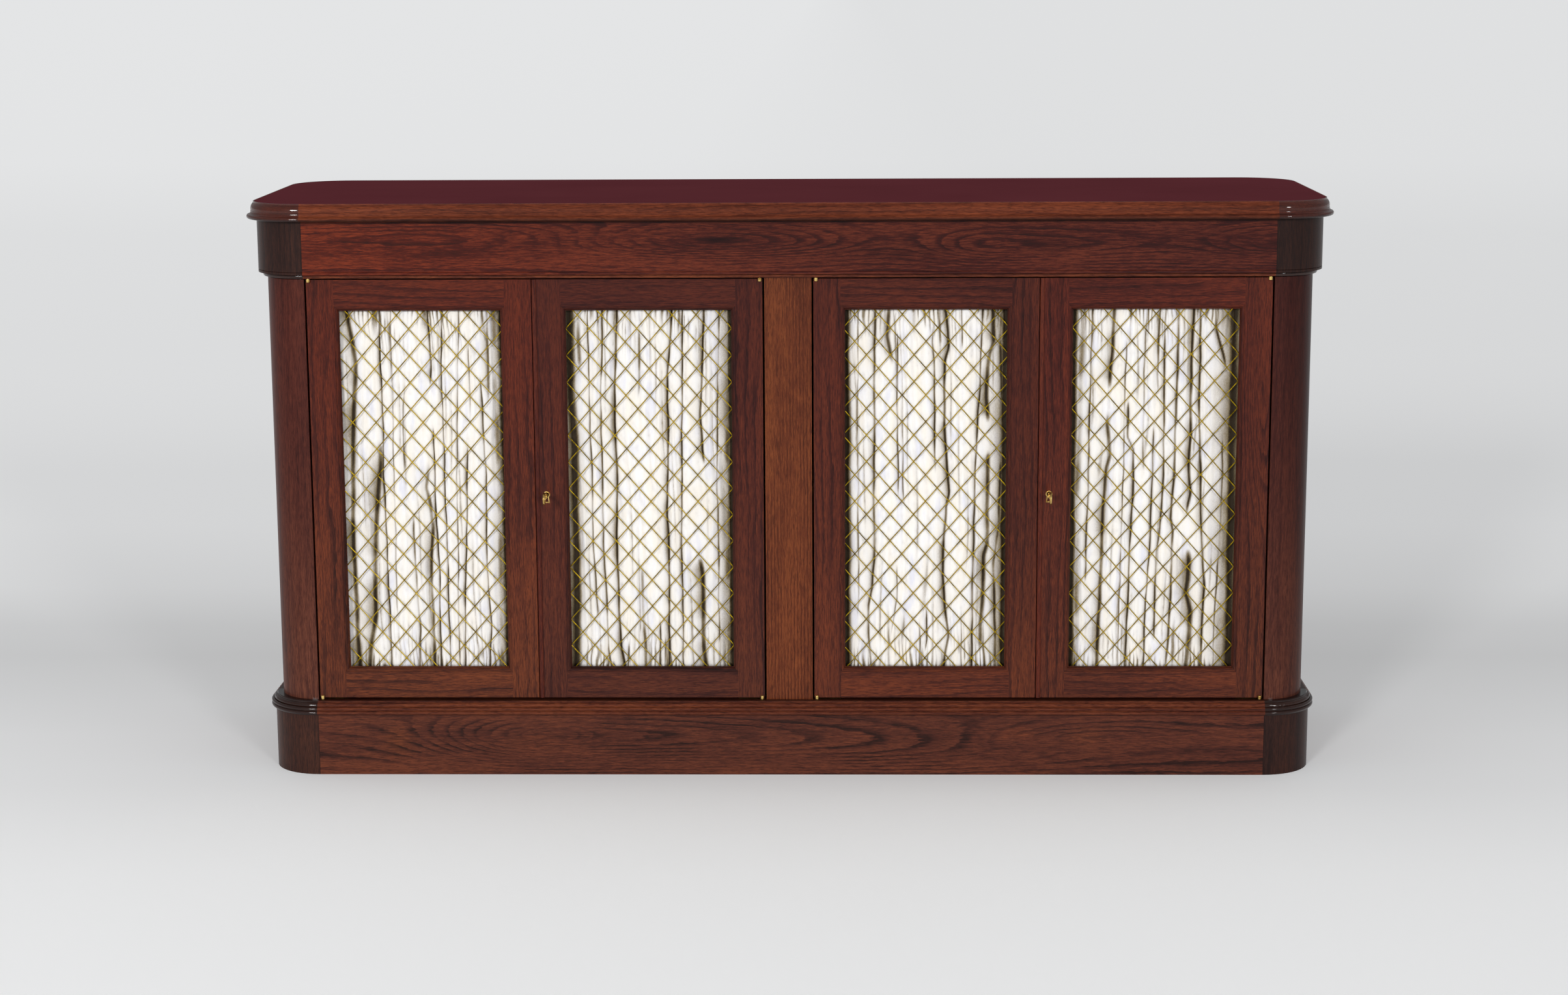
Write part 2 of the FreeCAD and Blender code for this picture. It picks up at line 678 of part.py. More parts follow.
def make_bays():
    column_rows = scaled(square_shares, column_radius, bay_height - column_top_gap, -column_radius, ledge_z)
    column = corner_run(column_rows)
    rims = [edge for edge in column.Edges
            if isinstance(edge.Curve, Part.Circle) and edge.CenterOfMass.z > bay_top_z - bay_height / 2]
    nodes["corner_columns"] = four_corners(column.makeFillet(column_edge_round, rims))
    outer, inner = body_half_width, body_half_width - side_thickness
    bay = (ledge_z, bay_top_z)
    pins, holes = shelf_pins()
    nodes["side_panels"] = [box((x, x_in), (-seam_y, seam_y), bay).cut(holes)
                            for x, x_in in ((outer, inner), (-outer, -inner))]
    back = body_half_depth
    stile_y = back - stile_thickness
    panel_y = back - back_panel_recess
    nodes["back_stile"] = [box((-back_stile_half, back_stile_half), (stile_y, back), bay)]
    panel_depth = (panel_y - back_panel_thickness, panel_y)
    nodes["back_panels"] = [box((side * back_stile_half, side * seam_x), panel_depth, bay) for side in (-1, 1)]
    stile_depth = (front_y, front_y + stile_thickness)
    nodes["centre_stile"] = [box((-centre_stile_half, centre_stile_half), stile_depth, bay)]
    half = partition_thickness / 2
    nodes["centre_partition"] = [box((-half, half), (front_y + stile_thickness, stile_y), bay).cut(holes)]
    nodes["shelf_pins"] = pins
    shelf_front = front_y + shelf_front_setback + door_thickness
    shelf_back = panel_y - back_panel_thickness - shelf_clearance
    near, far = half + shelf_clearance, inner - shelf_clearance
    shelf = box((near, far), (-seam_y, seam_y), (shelf_height, shelf_height + shelf_thickness))
    shelf = shelf.fuse(box((near, seam_x - shelf_clearance), (shelf_front, shelf_back),
                           (shelf_height, shelf_height + shelf_thickness))).removeSplitter()
    past_stile = box((0, back_stile_half + shelf_clearance), (stile_y - shelf_clearance, back),
                     (shelf_height, shelf_height + shelf_thickness))
    shelf = shelf.cut(past_stile)
    nodes["shelves"] = [shelf, shelf.mirror(Vector(0, 0, 0), Vector(1, 0, 0))]


def shelf_pins():
    # Four pegs under each shelf, half in the wood and half under the shelf
    z = shelf_height - pin_radius
    length = pin_depth + pin_reach
    pins, holes = [], []
    for y in (-seam_y + pin_inset, seam_y - pin_inset):
        for side in (-1, 1):
            for start, way in ((body_half_width - side_thickness + pin_depth, -side),
                               (partition_thickness / 2 - pin_depth, side)):
                base = Vector(side * start, y, z)
                reach = Vector(way * length, 0, 0)
                pins.append(cylinder(pin_radius, base, reach))
                holes.append(cylinder(pin_radius + pin_fit, base, reach))
    return pins, holes


def make_head():
    leaves = carcass_leaves()
    bed_rows = scaled(bed_mould_shares, bed_mould_out, bed_mould_height, 0, bay_top_z)
    runs = four_sides(with_inner_face(bed_rows, side_thickness))
    corners = four_corners(corner_run(with_inner_face(bed_rows, column_radius)))
    socket_front, socket_back = slip_y - slip_fit, slip_y + slip_bar_thickness + slip_fit
    front_run = straight_run(with_inner_face(bed_rows, socket_front - front_y), seam_x, body_half_depth)
    nodes["bed_moulding"] = [front_run.cut(leaves)] + runs[1:] + corners
    frieze_rows = scaled(frieze_shares, frieze_out, frieze_height, 0, frieze_z)
    nodes["frieze_boards"] = four_sides(with_inner_face(frieze_rows, frieze_thickness - frieze_out))
    nodes["frieze_corner_blocks"] = four_corners(corner_run(with_inner_face(frieze_rows, column_radius)))
    # The lipping on the front edge leaves a socket for each slip bolt between its lengths
    level = (bay_top_z, bay_top_z + sub_top_thickness)
    clear = slip_bar_half + slip_fit
    sockets = [x + slip_x + way for x in (-pair_centre_x, pair_centre_x) for way in (-clear, clear)]
    ends = [-seam_x] + sockets + [seam_x]
    lipping = [box((left, right), (socket_front, socket_back), level)
               for left, right in zip(ends[::2], ends[1::2])]
    nodes["sub_top"] = [cross_board(side_thickness, socket_back - front_y, *level)] + lipping
    stops = [box((x, x + side * stop_length), (door_back_y + stop_gap, door_back_y + stop_gap + stop_depth),
                 (bay_top_z - stop_height, bay_top_z)) for x, side in ((-stop_offset, -1), (stop_offset, 1))]
    nodes["hinge_plates"] = leaves
    nodes["door_stops"] = [moved(stop, x) for x in (-pair_centre_x, pair_centre_x) for stop in stops]


def make_top():
    x, y = body_half_width + top_board_out, body_half_depth + top_board_out
    board = box((-x, x), (-y, y), (top_z, top_z + top_thickness))
    uprights = [edge for edge in board.Edges
                if edge.Curve.Direction.isEqual(axis_z, 0) or edge.Curve.Direction.isEqual(-axis_z, 0)]
    nodes["top_board"] = [board.makeFillet(column_radius + top_board_out, uprights)]
    edge_rows = scaled(top_edge_shares, top_edge_out - top_board_out, top_thickness, top_board_out, top_z)
    nodes["top_edge_straights"] = four_sides(edge_rows)
    nodes["top_edge_corners"] = four_corners(corner_run(edge_rows))


make_plinth()
make_bays()
make_head()
make_top()
for door_number in (1, 2, 3, 4):
    make_door(door_number)

for node, solids in sorted(nodes.items()):
    shape = solids[0] if len(solids) == 1 else Part.makeCompound(solids)
    shape.exportStep("parts/%s.step" % node)
    bad = [solid for solid in solids if not solid.isValid() or len(solid.Solids) != 1]
    print(node, len(solids), "solids", round(shape.Volume), "mm3", "INVALID" if bad else "")
print(len(nodes), "nodes")
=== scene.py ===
import math
import bmesh
import bpy
import numpy as np
from mathutils import Matrix, Vector


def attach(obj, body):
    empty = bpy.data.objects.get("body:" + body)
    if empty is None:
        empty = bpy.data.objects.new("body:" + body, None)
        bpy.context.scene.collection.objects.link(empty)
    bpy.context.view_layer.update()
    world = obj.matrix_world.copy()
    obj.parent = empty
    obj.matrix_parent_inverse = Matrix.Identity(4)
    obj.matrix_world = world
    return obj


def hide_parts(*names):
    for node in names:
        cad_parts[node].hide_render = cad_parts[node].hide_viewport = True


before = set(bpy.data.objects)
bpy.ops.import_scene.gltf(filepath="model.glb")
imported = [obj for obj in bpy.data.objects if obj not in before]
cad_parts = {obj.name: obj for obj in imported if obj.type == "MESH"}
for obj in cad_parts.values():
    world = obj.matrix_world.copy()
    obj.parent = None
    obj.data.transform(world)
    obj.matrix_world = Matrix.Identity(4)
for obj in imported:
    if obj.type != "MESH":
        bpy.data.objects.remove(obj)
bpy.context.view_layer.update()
print("frame loaded,", len(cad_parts), "nodes")

mm = 0.001
seamX, seamY = 751.5 * mm, 157 * mm  # where the straight pieces meet the round corners

# the opening of each door frame, left and right, and their common foot and head
sightOpenings = {
    1: (-699.5 * mm, -447.7 * mm),
    2: (-346.0 * mm, -88.5 * mm),
    3: (88.5 * mm, 340.3 * mm),
    4: (442.0 * mm, 699.5 * mm),
}
sightFoot, sightHead = 172.8 * mm, 742.4 * mm


# ---- small helpers ----

def clearSelection():
    if bpy.context.object and bpy.context.object.mode != "OBJECT":
        bpy.ops.object.mode_set(mode="OBJECT")
    bpy.ops.object.select_all(action="DESELECT")


def takeNew(name):
    # names the primitive that was just added
    piece = bpy.context.object
    piece.name = name
    piece.data.name = name
    return piece


def workOn(piece):
    clearSelection()
    piece.select_set(True)
    bpy.context.view_layer.objects.active = piece


def pickFaces(piece, test):
    # in edit mode, selects the faces whose middle passes the test
    mesh = bmesh.from_edit_mesh(piece.data)
    for part in (*mesh.faces, *mesh.edges, *mesh.verts):
        part.select = False
    bpy.context.tool_settings.mesh_select_mode = (False, False, True)
    for face in [f for f in mesh.faces if test(f.calc_center_median())]:
        face.select_set(True)
    bmesh.update_edit_mesh(piece.data)


def applyPlace(piece):
    # puts the object's place into its mesh
    workOn(piece)
    bpy.ops.object.transform_apply(location=True, rotation=True, scale=True)


def finishWith(piece, kind, **settings):
    workOn(piece)
    modifier = piece.modifiers.new(kind.lower(), kind)
    for key, value in settings.items():
        setattr(modifier, key, value)
    bpy.ops.object.modifier_apply(modifier=modifier.name)


def copyOf(piece, name):
    made = piece.copy()
    made.data = piece.data.copy()
    bpy.context.scene.collection.objects.link(made)
    made.name = name
    made.data.name = name
    return made


def joinAll(pieces, name):
    clearSelection()
    for piece in pieces:
        piece.select_set(True)
    bpy.context.view_layer.objects.active = pieces[0]
    bpy.ops.object.join()
    return takeNew(name)


# ---- shader helpers ----

def linear(level):
    # a level as it looks, 0 to 255, in the linear values that Blender takes
    share = level / 255
    return ((share + 0.055) / 1.055) ** 2.4 if level > 10 else share / 12.92


def srgb(red, green, blue):
    return (linear(red), linear(green), linear(blue), 1)


def feed(tree, node, inputs):
    # links or sets the inputs of a node, by their names or numbers
    for key, value in inputs.items():
        if isinstance(value, bpy.types.NodeSocket):
            tree.links.new(value, node.inputs[key])
        else:
            node.inputs[key].default_value = value


def addNode(tree, kind, inputs=(), **settings):
    made = tree.nodes.new("ShaderNode" + kind)
    for key, value in settings.items():
        setattr(made, key, value)
    feed(tree, made, dict(inputs))
    return made


def calc(tree, operation, *values, clamp=False):
    return addNode(tree, "Math", enumerate(values), operation=operation, use_clamp=clamp).outputs[0]


def objectPlace(tree):
    # the place on the object, whole and as x, y and z
    place = addNode(tree, "TexCoord").outputs["Object"]
    return place, addNode(tree, "SeparateXYZ", {0: place}).outputs


def stretched(tree, place, rates):
    # x, y and z put together again, each at its own rate
    scaled = [c if rate == 1 else calc(tree, "MULTIPLY", c, rate) for c, rate in zip(place, rates)]
    return addNode(tree, "CombineXYZ", enumerate(scaled)).outputs[0]


def noise(tree, place, scale, detail=2.0, roughness=0.5):
    inputs = {"Vector": place, "Scale": scale, "Detail": detail, "Roughness": roughness}
    return addNode(tree, "TexNoise", inputs).outputs["Fac"]


def ramp(tree, value, stops):
    # stops are (position, colour or grey level)
    made = addNode(tree, "ValToRGB", {0: value})
    band = made.color_ramp
    while len(band.elements) < len(stops):
        band.elements.new(0.5)
    for element, (at, colour) in zip(band.elements, stops):
        element.position = at
        element.color = colour if isinstance(colour, tuple) else (colour, colour, colour, 1)
    return made.outputs["Color"]


def blendColours(tree, share, first, second, mode="MIX"):
    inputs = {0: share, 6: first, 7: second}
    made = addNode(tree, "Mix", inputs, data_type="RGBA", blend_type=mode, clamp_factor=True)
    return made.outputs[2]


def addBump(tree, shader, height, strength, distance):
    bump = addNode(tree, "Bump", {"Height": height, "Strength": strength, "Distance": distance})
    feed(tree, shader, {"Normal": bump.outputs[0]})


def startMaterial(name):
    material = bpy.data.materials.new(name)
    material.use_nodes = True
    tree = material.node_tree
    tree.nodes.clear()
    shader = addNode(tree, "BsdfPrincipled")
    addNode(tree, "OutputMaterial", {0: shader.outputs[0]})
    return material, tree, shader


def paint(nodes, material):
    for name in nodes:
        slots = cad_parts[name].data.materials
        slots.clear()
        slots.append(material)


# ---- camera, lamps, floor ----

cameraLook = {
    "place": (0.08186, -4.59207, 1.27123),
    "down": 10.685,
    "left": 1.172,
    "roll": -0.287,
    "lens": 65.03,
    "sensor": 36,
    "farthest": 900,
}


def placeCamera(look):
    bpy.ops.object.camera_add(location=look["place"])
    camera = bpy.context.object
    camera.name = "photoCamera"
    turn = Matrix.Rotation(math.radians(look["left"]), 4, "Z")
    turn @= Matrix.Rotation(math.radians(90 - look["down"]), 4, "X")
    turn @= Matrix.Rotation(math.radians(look["roll"]), 4, "Z")
    camera.rotation_euler = turn.to_euler()
    camera.data.sensor_width = look["sensor"]
    camera.data.lens = look["lens"]
    camera.data.clip_end = look["farthest"]
    bpy.context.scene.camera = camera


placeCamera(cameraLook)

lampLook = {
    "left": {"azimuth": -24, "height": 15, "softness": 9, "strength": 1.25},
    "right": {"azimuth": 28, "height": 15, "softness": 9, "strength": 0.75},
}
lampDistance = 5


def placeLamps(looks):
    for name, look in looks.items():
        azimuth, height = math.radians(look["azimuth"]), math.radians(look["height"])
        level = math.cos(height)
        way = Vector((math.sin(azimuth) * level, -math.cos(azimuth) * level, math.sin(height)))
        bpy.ops.object.light_add(type="SUN", location=way * lampDistance,
                                 rotation=way.to_track_quat("Z", "Y").to_euler())
        lamp = bpy.context.object
        lamp.name = name + "Lamp"
        lamp.data.energy = look["strength"]
        lamp.data.angle = math.radians(look["softness"])


# the room as a light, as a reflection in the coats, and as the camera sees it
worldLook = {"light": (0.97, 0.985, 1.0, 1), "strength": 0.55, "mirrored": 0.36, "seen": srgb(226, 226, 226)}


def fillWorld(look):
    world = bpy.data.worlds.new("paleRoom")
    bpy.context.scene.world = world
    world.use_nodes = True
    tree = world.node_tree
    tree.nodes.clear()
    rays = addNode(tree, "LightPath").outputs
    seen = calc(tree, "MAXIMUM", rays["Is Camera Ray"], rays["Is Transmission Ray"])
    light = addNode(tree, "Background", {0: look["light"], 1: look["strength"]}).outputs[0]
    mirrored = addNode(tree, "Background", {0: look["light"], 1: look["mirrored"]}).outputs[0]
    light = addNode(tree, "MixShader", {0: rays["Is Glossy Ray"], 1: light, 2: mirrored}).outputs[0]
    shown = addNode(tree, "Background", {0: look["seen"], 1: 1.0}).outputs[0]
    mixed = addNode(tree, "MixShader", {0: seen, 1: light, 2: shown}).outputs[0]
    addNode(tree, "OutputWorld", {0: mixed})


placeLamps(lampLook)
fillWorld(worldLook)

floorLook = {
    "radius": 400.0,
    # place from front to back, and its grey level; the dip from 0.2 to 1.15 m behind the object is a painted
    # shadow band
    "tones": ((-3.0, 246), (-1.2, 244), (-0.75, 241), (-0.3, 231), (0.0, 226), (0.2, 219), (0.55, 209),
              (0.8, 212), (1.15, 223), (1.8, 230), (5.0, 230), (9.0, 232), (14.0, 238), (60.0, 239)),
    "halfWay": 2.0,  # how far from the middle half of the tones' scale is used up
    "rightTone": 0.955,  # painted shade: how much darker it gets to the right
    "glow": 0.2,  # how much the camera sees beyond the lit floor
}


def floorShare(y, halfWay):
    # a place from far in front to far behind, as a share from 0 to 1
    return 0.5 + 0.5 * y / (halfWay + abs(y))


def layFloor(look):
    clearSelection()
    bpy.ops.mesh.primitive_circle_add(vertices=96, radius=look["radius"], fill_type="NGON")
    floor = takeNew("floor")
    material, tree, shader = startMaterial("paleFloor")
    apart = objectPlace(tree)[1]
    x, depth = apart["X"], apart["Y"]
    share = calc(tree, "DIVIDE", depth, calc(tree, "ADD", calc(tree, "ABSOLUTE", depth), look["halfWay"]))
    share = calc(tree, "MULTIPLY_ADD", share, 0.5, 0.5, clamp=True)
    # grey levels from front to back with the painted shadow band, then painted shade to the right
    stops = [(floorShare(y, look["halfWay"]), srgb(tone, tone, tone)) for y, tone in look["tones"]]
    colour = ramp(tree, share, stops)
    right = calc(tree, "MULTIPLY_ADD", x, 0.5, 0.5, clamp=True)
    dim = (look["rightTone"],) * 3 + (1,)
    colour = blendColours(tree, right, colour, blendColours(tree, 1.0, colour, dim, "MULTIPLY"))
    rays = addNode(tree, "LightPath").outputs
    seen = calc(tree, "MAXIMUM", rays["Is Camera Ray"], rays["Is Glossy Ray"])
    glow = calc(tree, "MULTIPLY", seen, look["glow"])
    feed(tree, shader, {"Base Color": colour, "Emission Color": colour, "Emission Strength": glow,
                        "Roughness": 1.0, "Specular IOR Level": 0.0})
    floor.data.materials.append(material)


layFloor(floorLook)
print("camera, lamps and floor placed")


# ---- wood ----

# how fine each part of the grain is: rates per metre along and across, then detail and roughness
grainLook = {
    "waver": (2.6, 17.0, 3.0),
    "ripple": (50.0, 260.0),
    "fade": (4.0, 30.0),
    "streak": (42.0, 520.0, 4.0, 0.72),
    "pore": (90.0, 1100.0, 1.0),
    "tone": (2.4, 22.0, 3.0),
}
ringLook = {
    "profile": ((0.0, 0.0), (0.55, 0.12), (0.84, 1.0), (0.93, 0.85), (1.0, 0.0)),  # one ring, side to side
    "fade": ((0.38, 0.1), (0.6, 1.0)),
    "ripple": 0.5,
}
spotEdge = 0.37  # what is left of a spot at the end of its reach
crossShift = 0.37  # a plank that starts further along its tree starts this much further across
seamColour = srgb(26, 13, 11)


def spot(tree, along, across, look):
    # a soft oval mask, 1 in its middle
    away = calc(tree, "SUBTRACT", along, look["at"][0])
    a = calc(tree, "DIVIDE", away, look["reach"][0])
    if "tail" in look:  # it runs out slowly to the right
        a = calc(tree, "MINIMUM", a, calc(tree, "DIVIDE", away, look["tail"]))
    b = calc(tree, "DIVIDE", calc(tree, "SUBTRACT", across, look["at"][1]), look["reach"][1])
    return calc(tree, "POWER", spotEdge, calc(tree, "MULTIPLY_ADD", a, a, calc(tree, "MULTIPLY", b, b)))


def grainNoise(tree, board, kind):
    # noise drawn out along the grain
    along, across, *detail = grainLook[kind]
    return noise(tree, stretched(tree, board, (along, across, across)), 1.0, *detail)


def findGrain(tree, x, y, z, grain):
    # the directions along, across and through the grain, and a mask of the turned corners
    wide = calc(tree, "GREATER_THAN", calc(tree, "ABSOLUTE", x), seamX)
    narrow = calc(tree, "LESS_THAN", calc(tree, "ABSOLUTE", y), seamY)
    corner = calc(tree, "MULTIPLY", wide, calc(tree, "SUBTRACT", 1.0, narrow))
    if grain == "up":
        return z, x, y, corner
    if grain == "upSide":  # up too, on the two sides
        return z, y, x, corner
    # along the front and the back, and along the two sides
    side = calc(tree, "MULTIPLY", wide, narrow)
    along = addNode(tree, "Mix", {0: side, 2: x, 3: y}).outputs[0]
    deep = addNode(tree, "Mix", {0: side, 2: y, 3: x}).outputs[0]
    return along, z, deep, corner


def ringLines(tree, look, board, along, across):
    # growth rings: even lines across the board, pushed into ovals and tongues by the figures
    field = calc(tree, "MULTIPLY", across, look["rings"])
    waver = calc(tree, "SUBTRACT", grainNoise(tree, board, "waver"), 0.5)
    field = calc(tree, "MULTIPLY_ADD", waver, look["waver"], field)
    for figure in look["figures"]:
        field = calc(tree, "MULTIPLY_ADD", spot(tree, along, across, figure), figure["push"], field)
    field = calc(tree, "MULTIPLY_ADD", grainNoise(tree, board, "ripple"), ringLook["ripple"], field)
    ring = ramp(tree, calc(tree, "FRACT", field), ringLook["profile"])
    return calc(tree, "MULTIPLY", ring, ramp(tree, grainNoise(tree, board, "fade"), ringLook["fade"]))


def makeWood(name, look):
    material, tree, shader = startMaterial(name)
    x, y, z = objectPlace(tree)[1]
    along, across, deep, corner = findGrain(tree, x, y, z, look["grain"])
    board = (calc(tree, "ADD", along, look["shift"]),
             calc(tree, "ADD", across, look["shift"] * crossShift), deep)
    lines = ringLines(tree, look, board, along, across)
    # fine streaks, pores and a slow change of tone
    streak = grainNoise(tree, board, "streak")
    pore = ramp(tree, grainNoise(tree, board, "pore"), ((0.35, 1.0), (0.45, 0.0)))
    tone = grainNoise(tree, board, "tone")
    mixed = calc(tree, "MULTIPLY_ADD", streak, look["streaks"], look["ground"] - 0.5 * look["streaks"])
    mixed = calc(tree, "MULTIPLY_ADD", tone, look["tones"], mixed)
    mixed = calc(tree, "MULTIPLY_ADD", lines, -look["lines"], mixed)
    colour = ramp(tree, mixed, ((0.12, look["dark"]), (0.5, look["middle"]), (0.88, look["light"])))
    if "cornerDark" in look:  # the turned corners are of another, darker wood
        cornerTone = ramp(tree, mixed, ((0.12, look["cornerDark"]), (0.88, look["cornerLight"])))
        colour = blendColours(tree, corner, colour, cornerTone)
    # tints of the wood's own tone, and painted light and shade
    for patch in look["patches"]:
        tinted = blendColours(tree, 1.0, colour, patch["times"], "MULTIPLY")
        colour = blendColours(tree, spot(tree, along, across, patch), colour, tinted)
    darkest = look.get("cornerDark", look["dark"])
    colour = blendColours(tree, calc(tree, "MULTIPLY", pore, look["pores"]), colour, darkest)
    if "seam" in look:  # the fine line of a glued joint
        gap = calc(tree, "ABSOLUTE", calc(tree, "SUBTRACT", calc(tree, "ABSOLUTE", x), seamX))
        colour = blendColours(tree, calc(tree, "LESS_THAN", gap, look["seam"]), colour, seamColour)
    coat = look["coat"]
    if "cornerCoat" in look:
        coat = calc(tree, "MULTIPLY_ADD", corner, look["cornerCoat"] - coat, coat)
    feed(tree, shader, {"Base Color": colour,
                        "Roughness": calc(tree, "MULTIPLY_ADD", streak, 0.2, look["roughness"]),
                        "Specular IOR Level": look["specular"],
                        "Coat Weight": coat,
                        "Coat Roughness": look["coatRoughness"]})
    height = calc(tree, "SUBTRACT", calc(tree, "MULTIPLY", streak, 0.5), calc(tree, "MULTIPLY", pore, 0.6))
    addBump(tree, shader, height, 0.25, 0.25 * mm)
    return material


anyWood = {
    "grain": "along",
    "shift": 0.0,
    "rings": 90.0,  # per metre
    "waver": 3.2,
    "lines": 0.4,
    "streaks": 1.5,
    "tones": 0.75,
    "ground": 0.3,
    "pores": 0.55,
    "roughness": 0.3,
    "specular": 0.06,
    "coat": 0.14,
    "coatRoughness": 0.12,
    "figures": (),  # what bends the rings: place and reach along and across the grain, then its push
    "patches": (),  # what tints the wood, in its own tone and as painted light and shade: place and reach, and the tint that multiplies its colour
}
mahogany = {**anyWood, "dark": srgb(41, 17, 15), "middle": srgb(70, 29, 23), "light": srgb(102, 45, 29)}
turned = {"cornerDark": srgb(22, 11, 9), "cornerLight": srgb(46, 24, 18), "coat": 0.16, "cornerCoat": 0.55,
          "coatRoughness": 0.04}
woodLooks = {
    "friezeWood": {
        **mahogany, "middle": srgb(62, 22, 18), "seam": 0.7 * mm, "rings": 60.0, "waver": 2.4, "lines": 0.42,
        "figures": ({"at": (-0.10, 0.850), "reach": (0.21, 0.026), "push": 8.0},
                    {"at": (0.32, 0.842), "reach": (0.12, 0.028), "tail": 0.3, "push": 6.0},
                    {"at": (0.77, 0.846), "reach": (0.13, 0.030), "push": 7.0},
                    {"at": (-0.60, 0.860), "reach": (0.30, 0.020), "push": -3.0}),
        # painted light over the left end
        "patches": ({"at": (-0.74, 0.84), "reach": (0.42, 0.2), "times": (1.52, 1.2, 0.88, 1)},
                    # a painted shadow under the top's edge
                    {"at": (0.0, 0.8812), "reach": (9.0, 0.0018), "times": (0.5, 0.5, 0.55, 1)},
                    {"at": (-0.105, 0.853), "reach": (0.03, 0.006), "times": (0.5, 0.5, 0.6, 1)},
                    {"at": (0.20, 0.835), "reach": (0.10, 0.012), "times": (0.72, 0.72, 0.8, 1)},
                    {"at": (0.40, 0.842), "reach": (0.05, 0.008), "times": (0.66, 0.66, 0.75, 1)},
                    # painted shade over the right end
                    {"at": (0.66, 0.84), "reach": (0.25, 0.2), "times": (0.9, 0.92, 1.0, 1)}),
    },
    "plinthWood": {
        **mahogany, "dark": srgb(41, 22, 18), "middle": srgb(75, 38, 29), "light": srgb(105, 55, 37),
        "seam": 0.7 * mm, "rings": 50.0, "waver": 1.5, "lines": 0.55,
        "figures": ({"at": (-0.41, 0.060), "reach": (0.16, 0.042), "tail": 0.7, "push": 9.0},
                    {"at": (-0.37, 0.064), "reach": (0.05, 0.014), "push": 2.5},
                    {"at": (0.16, 0.030), "reach": (0.30, 0.030), "push": 2.0},
                    {"at": (0.48, 0.062), "reach": (0.14, 0.020), "push": -3.5}),
        "patches": ({"at": (-0.625, 0.055), "reach": (0.022, 0.022), "times": (1.3, 1.3, 1.0, 1)},
                    {"at": (-0.39, 0.055), "reach": (0.07, 0.014), "times": (1.12, 1.1, 1.0, 1)},
                    {"at": (0.36, 0.066), "reach": (0.03, 0.012), "times": (1.35, 1.3, 1.1, 1)},
                    {"at": (0.47, 0.062), "reach": (0.03, 0.012), "times": (1.3, 1.3, 1.1, 1)},
                    # painted shade over the right half
                    {"at": (0.60, 0.050), "reach": (0.30, 0.200), "times": (0.90, 0.88, 0.92, 1)}),
    },
    "edgeWood": {
        **mahogany, **turned, "dark": srgb(58, 25, 16), "middle": srgb(91, 41, 25),
        "light": srgb(123, 60, 35), "cornerDark": srgb(42, 16, 12), "cornerLight": srgb(80, 34, 23),
        "lines": 0.3,
        # a painted shadow along the underside of the edge
        "patches": ({"at": (0.0, 0.8843), "reach": (9.0, 0.0033), "times": (0.3, 0.35, 0.4, 1)},),
    },
    "mouldingWood": {
        **mahogany, **turned, "dark": srgb(47, 21, 15), "middle": srgb(75, 34, 24),
        "light": srgb(109, 55, 34), "lines": 0.3,
        # painted shade on the top of the plinth moulding under the doors
        "patches": ({"at": (0.0, 0.1212), "reach": (9.0, 0.0016), "times": (0.3, 0.35, 0.4, 1)},
                    # a painted highlight along the plinth moulding's upper reed
                    {"at": (0.0, 0.1150), "reach": (9.0, 0.0040), "times": (1.15, 1.12, 1.0, 1)},
                    # a dark joint line with a painted shadow under the plinth moulding
                    {"at": (0.0, 0.0988), "reach": (9.0, 0.0014), "times": (0.5, 0.5, 0.55, 1)},
                    # a painted highlight along the foot of the bed moulding
                    {"at": (0.0, 0.7960), "reach": (9.0, 0.0018), "times": (1.35, 1.35, 1.2, 1)}),
    },
    "cornerWood": {
        **mahogany, "grain": "up", "dark": srgb(28, 16, 14), "middle": srgb(41, 24, 21),
        "light": srgb(60, 34, 26), "coatRoughness": 0.06, "lines": 0.25,
        # painted shade on the right frieze block
        "patches": ({"at": (0.84, 0.80), "reach": (0.09, 0.14), "times": (0.64, 0.66, 0.68, 1)},
                    # painted light on the left plinth block
                    {"at": (0.05, -0.80), "reach": (0.09, 0.14), "times": (1.6, 1.55, 1.4, 1)}),
    },
    "columnWood": {
        **mahogany, "grain": "up", "dark": srgb(43, 18, 15), "middle": srgb(66, 28, 23),
        "light": srgb(88, 41, 31), "coat": 0.1, "coatRoughness": 0.06, "lines": 0.25,
        # painted shade on the upper right column
        "patches": ({"at": (0.85, 0.82), "reach": (0.42, 0.11), "times": (0.54, 0.54, 0.62, 1)},
                    # a painted reflection of the floor on the lower columns
                    {"at": (0.10, 0.0), "reach": (0.32, 9.0), "times": (1.47, 2.05, 1.85, 1)},
                    # painted shade on the outer side of the right column
                    {"at": (0.45, 0.83), "reach": (0.5, 0.05), "times": (0.46, 0.38, 0.36, 1)}),
    },
    "centreWood": {
        **mahogany, "grain": "up", "dark": srgb(58, 26, 14), "middle": srgb(90, 42, 24),
        "light": srgb(122, 64, 34), "rings": 190.0, "waver": 1.2,
    },
    "sideWood": {
        **mahogany, "grain": "upSide", "rings": 50.0,
        "figures": ({"at": (0.42, 0.0), "reach": (0.5, 0.055), "push": 6.0},),
    },
    "beadWood": {**mahogany, "grain": "up", "lines": 0.1},
    "insideWood": {
        **anyWood, "dark": srgb(96, 60, 38), "middle": srgb(128, 86, 56), "light": srgb(156, 110, 76),
        "coat": 0.0, "roughness": 0.45,
    },
    "backWood": {
        **anyWood, "grain": "up", "dark": srgb(92, 56, 38), "middle": srgb(122, 80, 54),
        "light": srgb(148, 104, 72), "coat": 0.05, "roughness": 0.4, "rings": 45.0,
    },
}
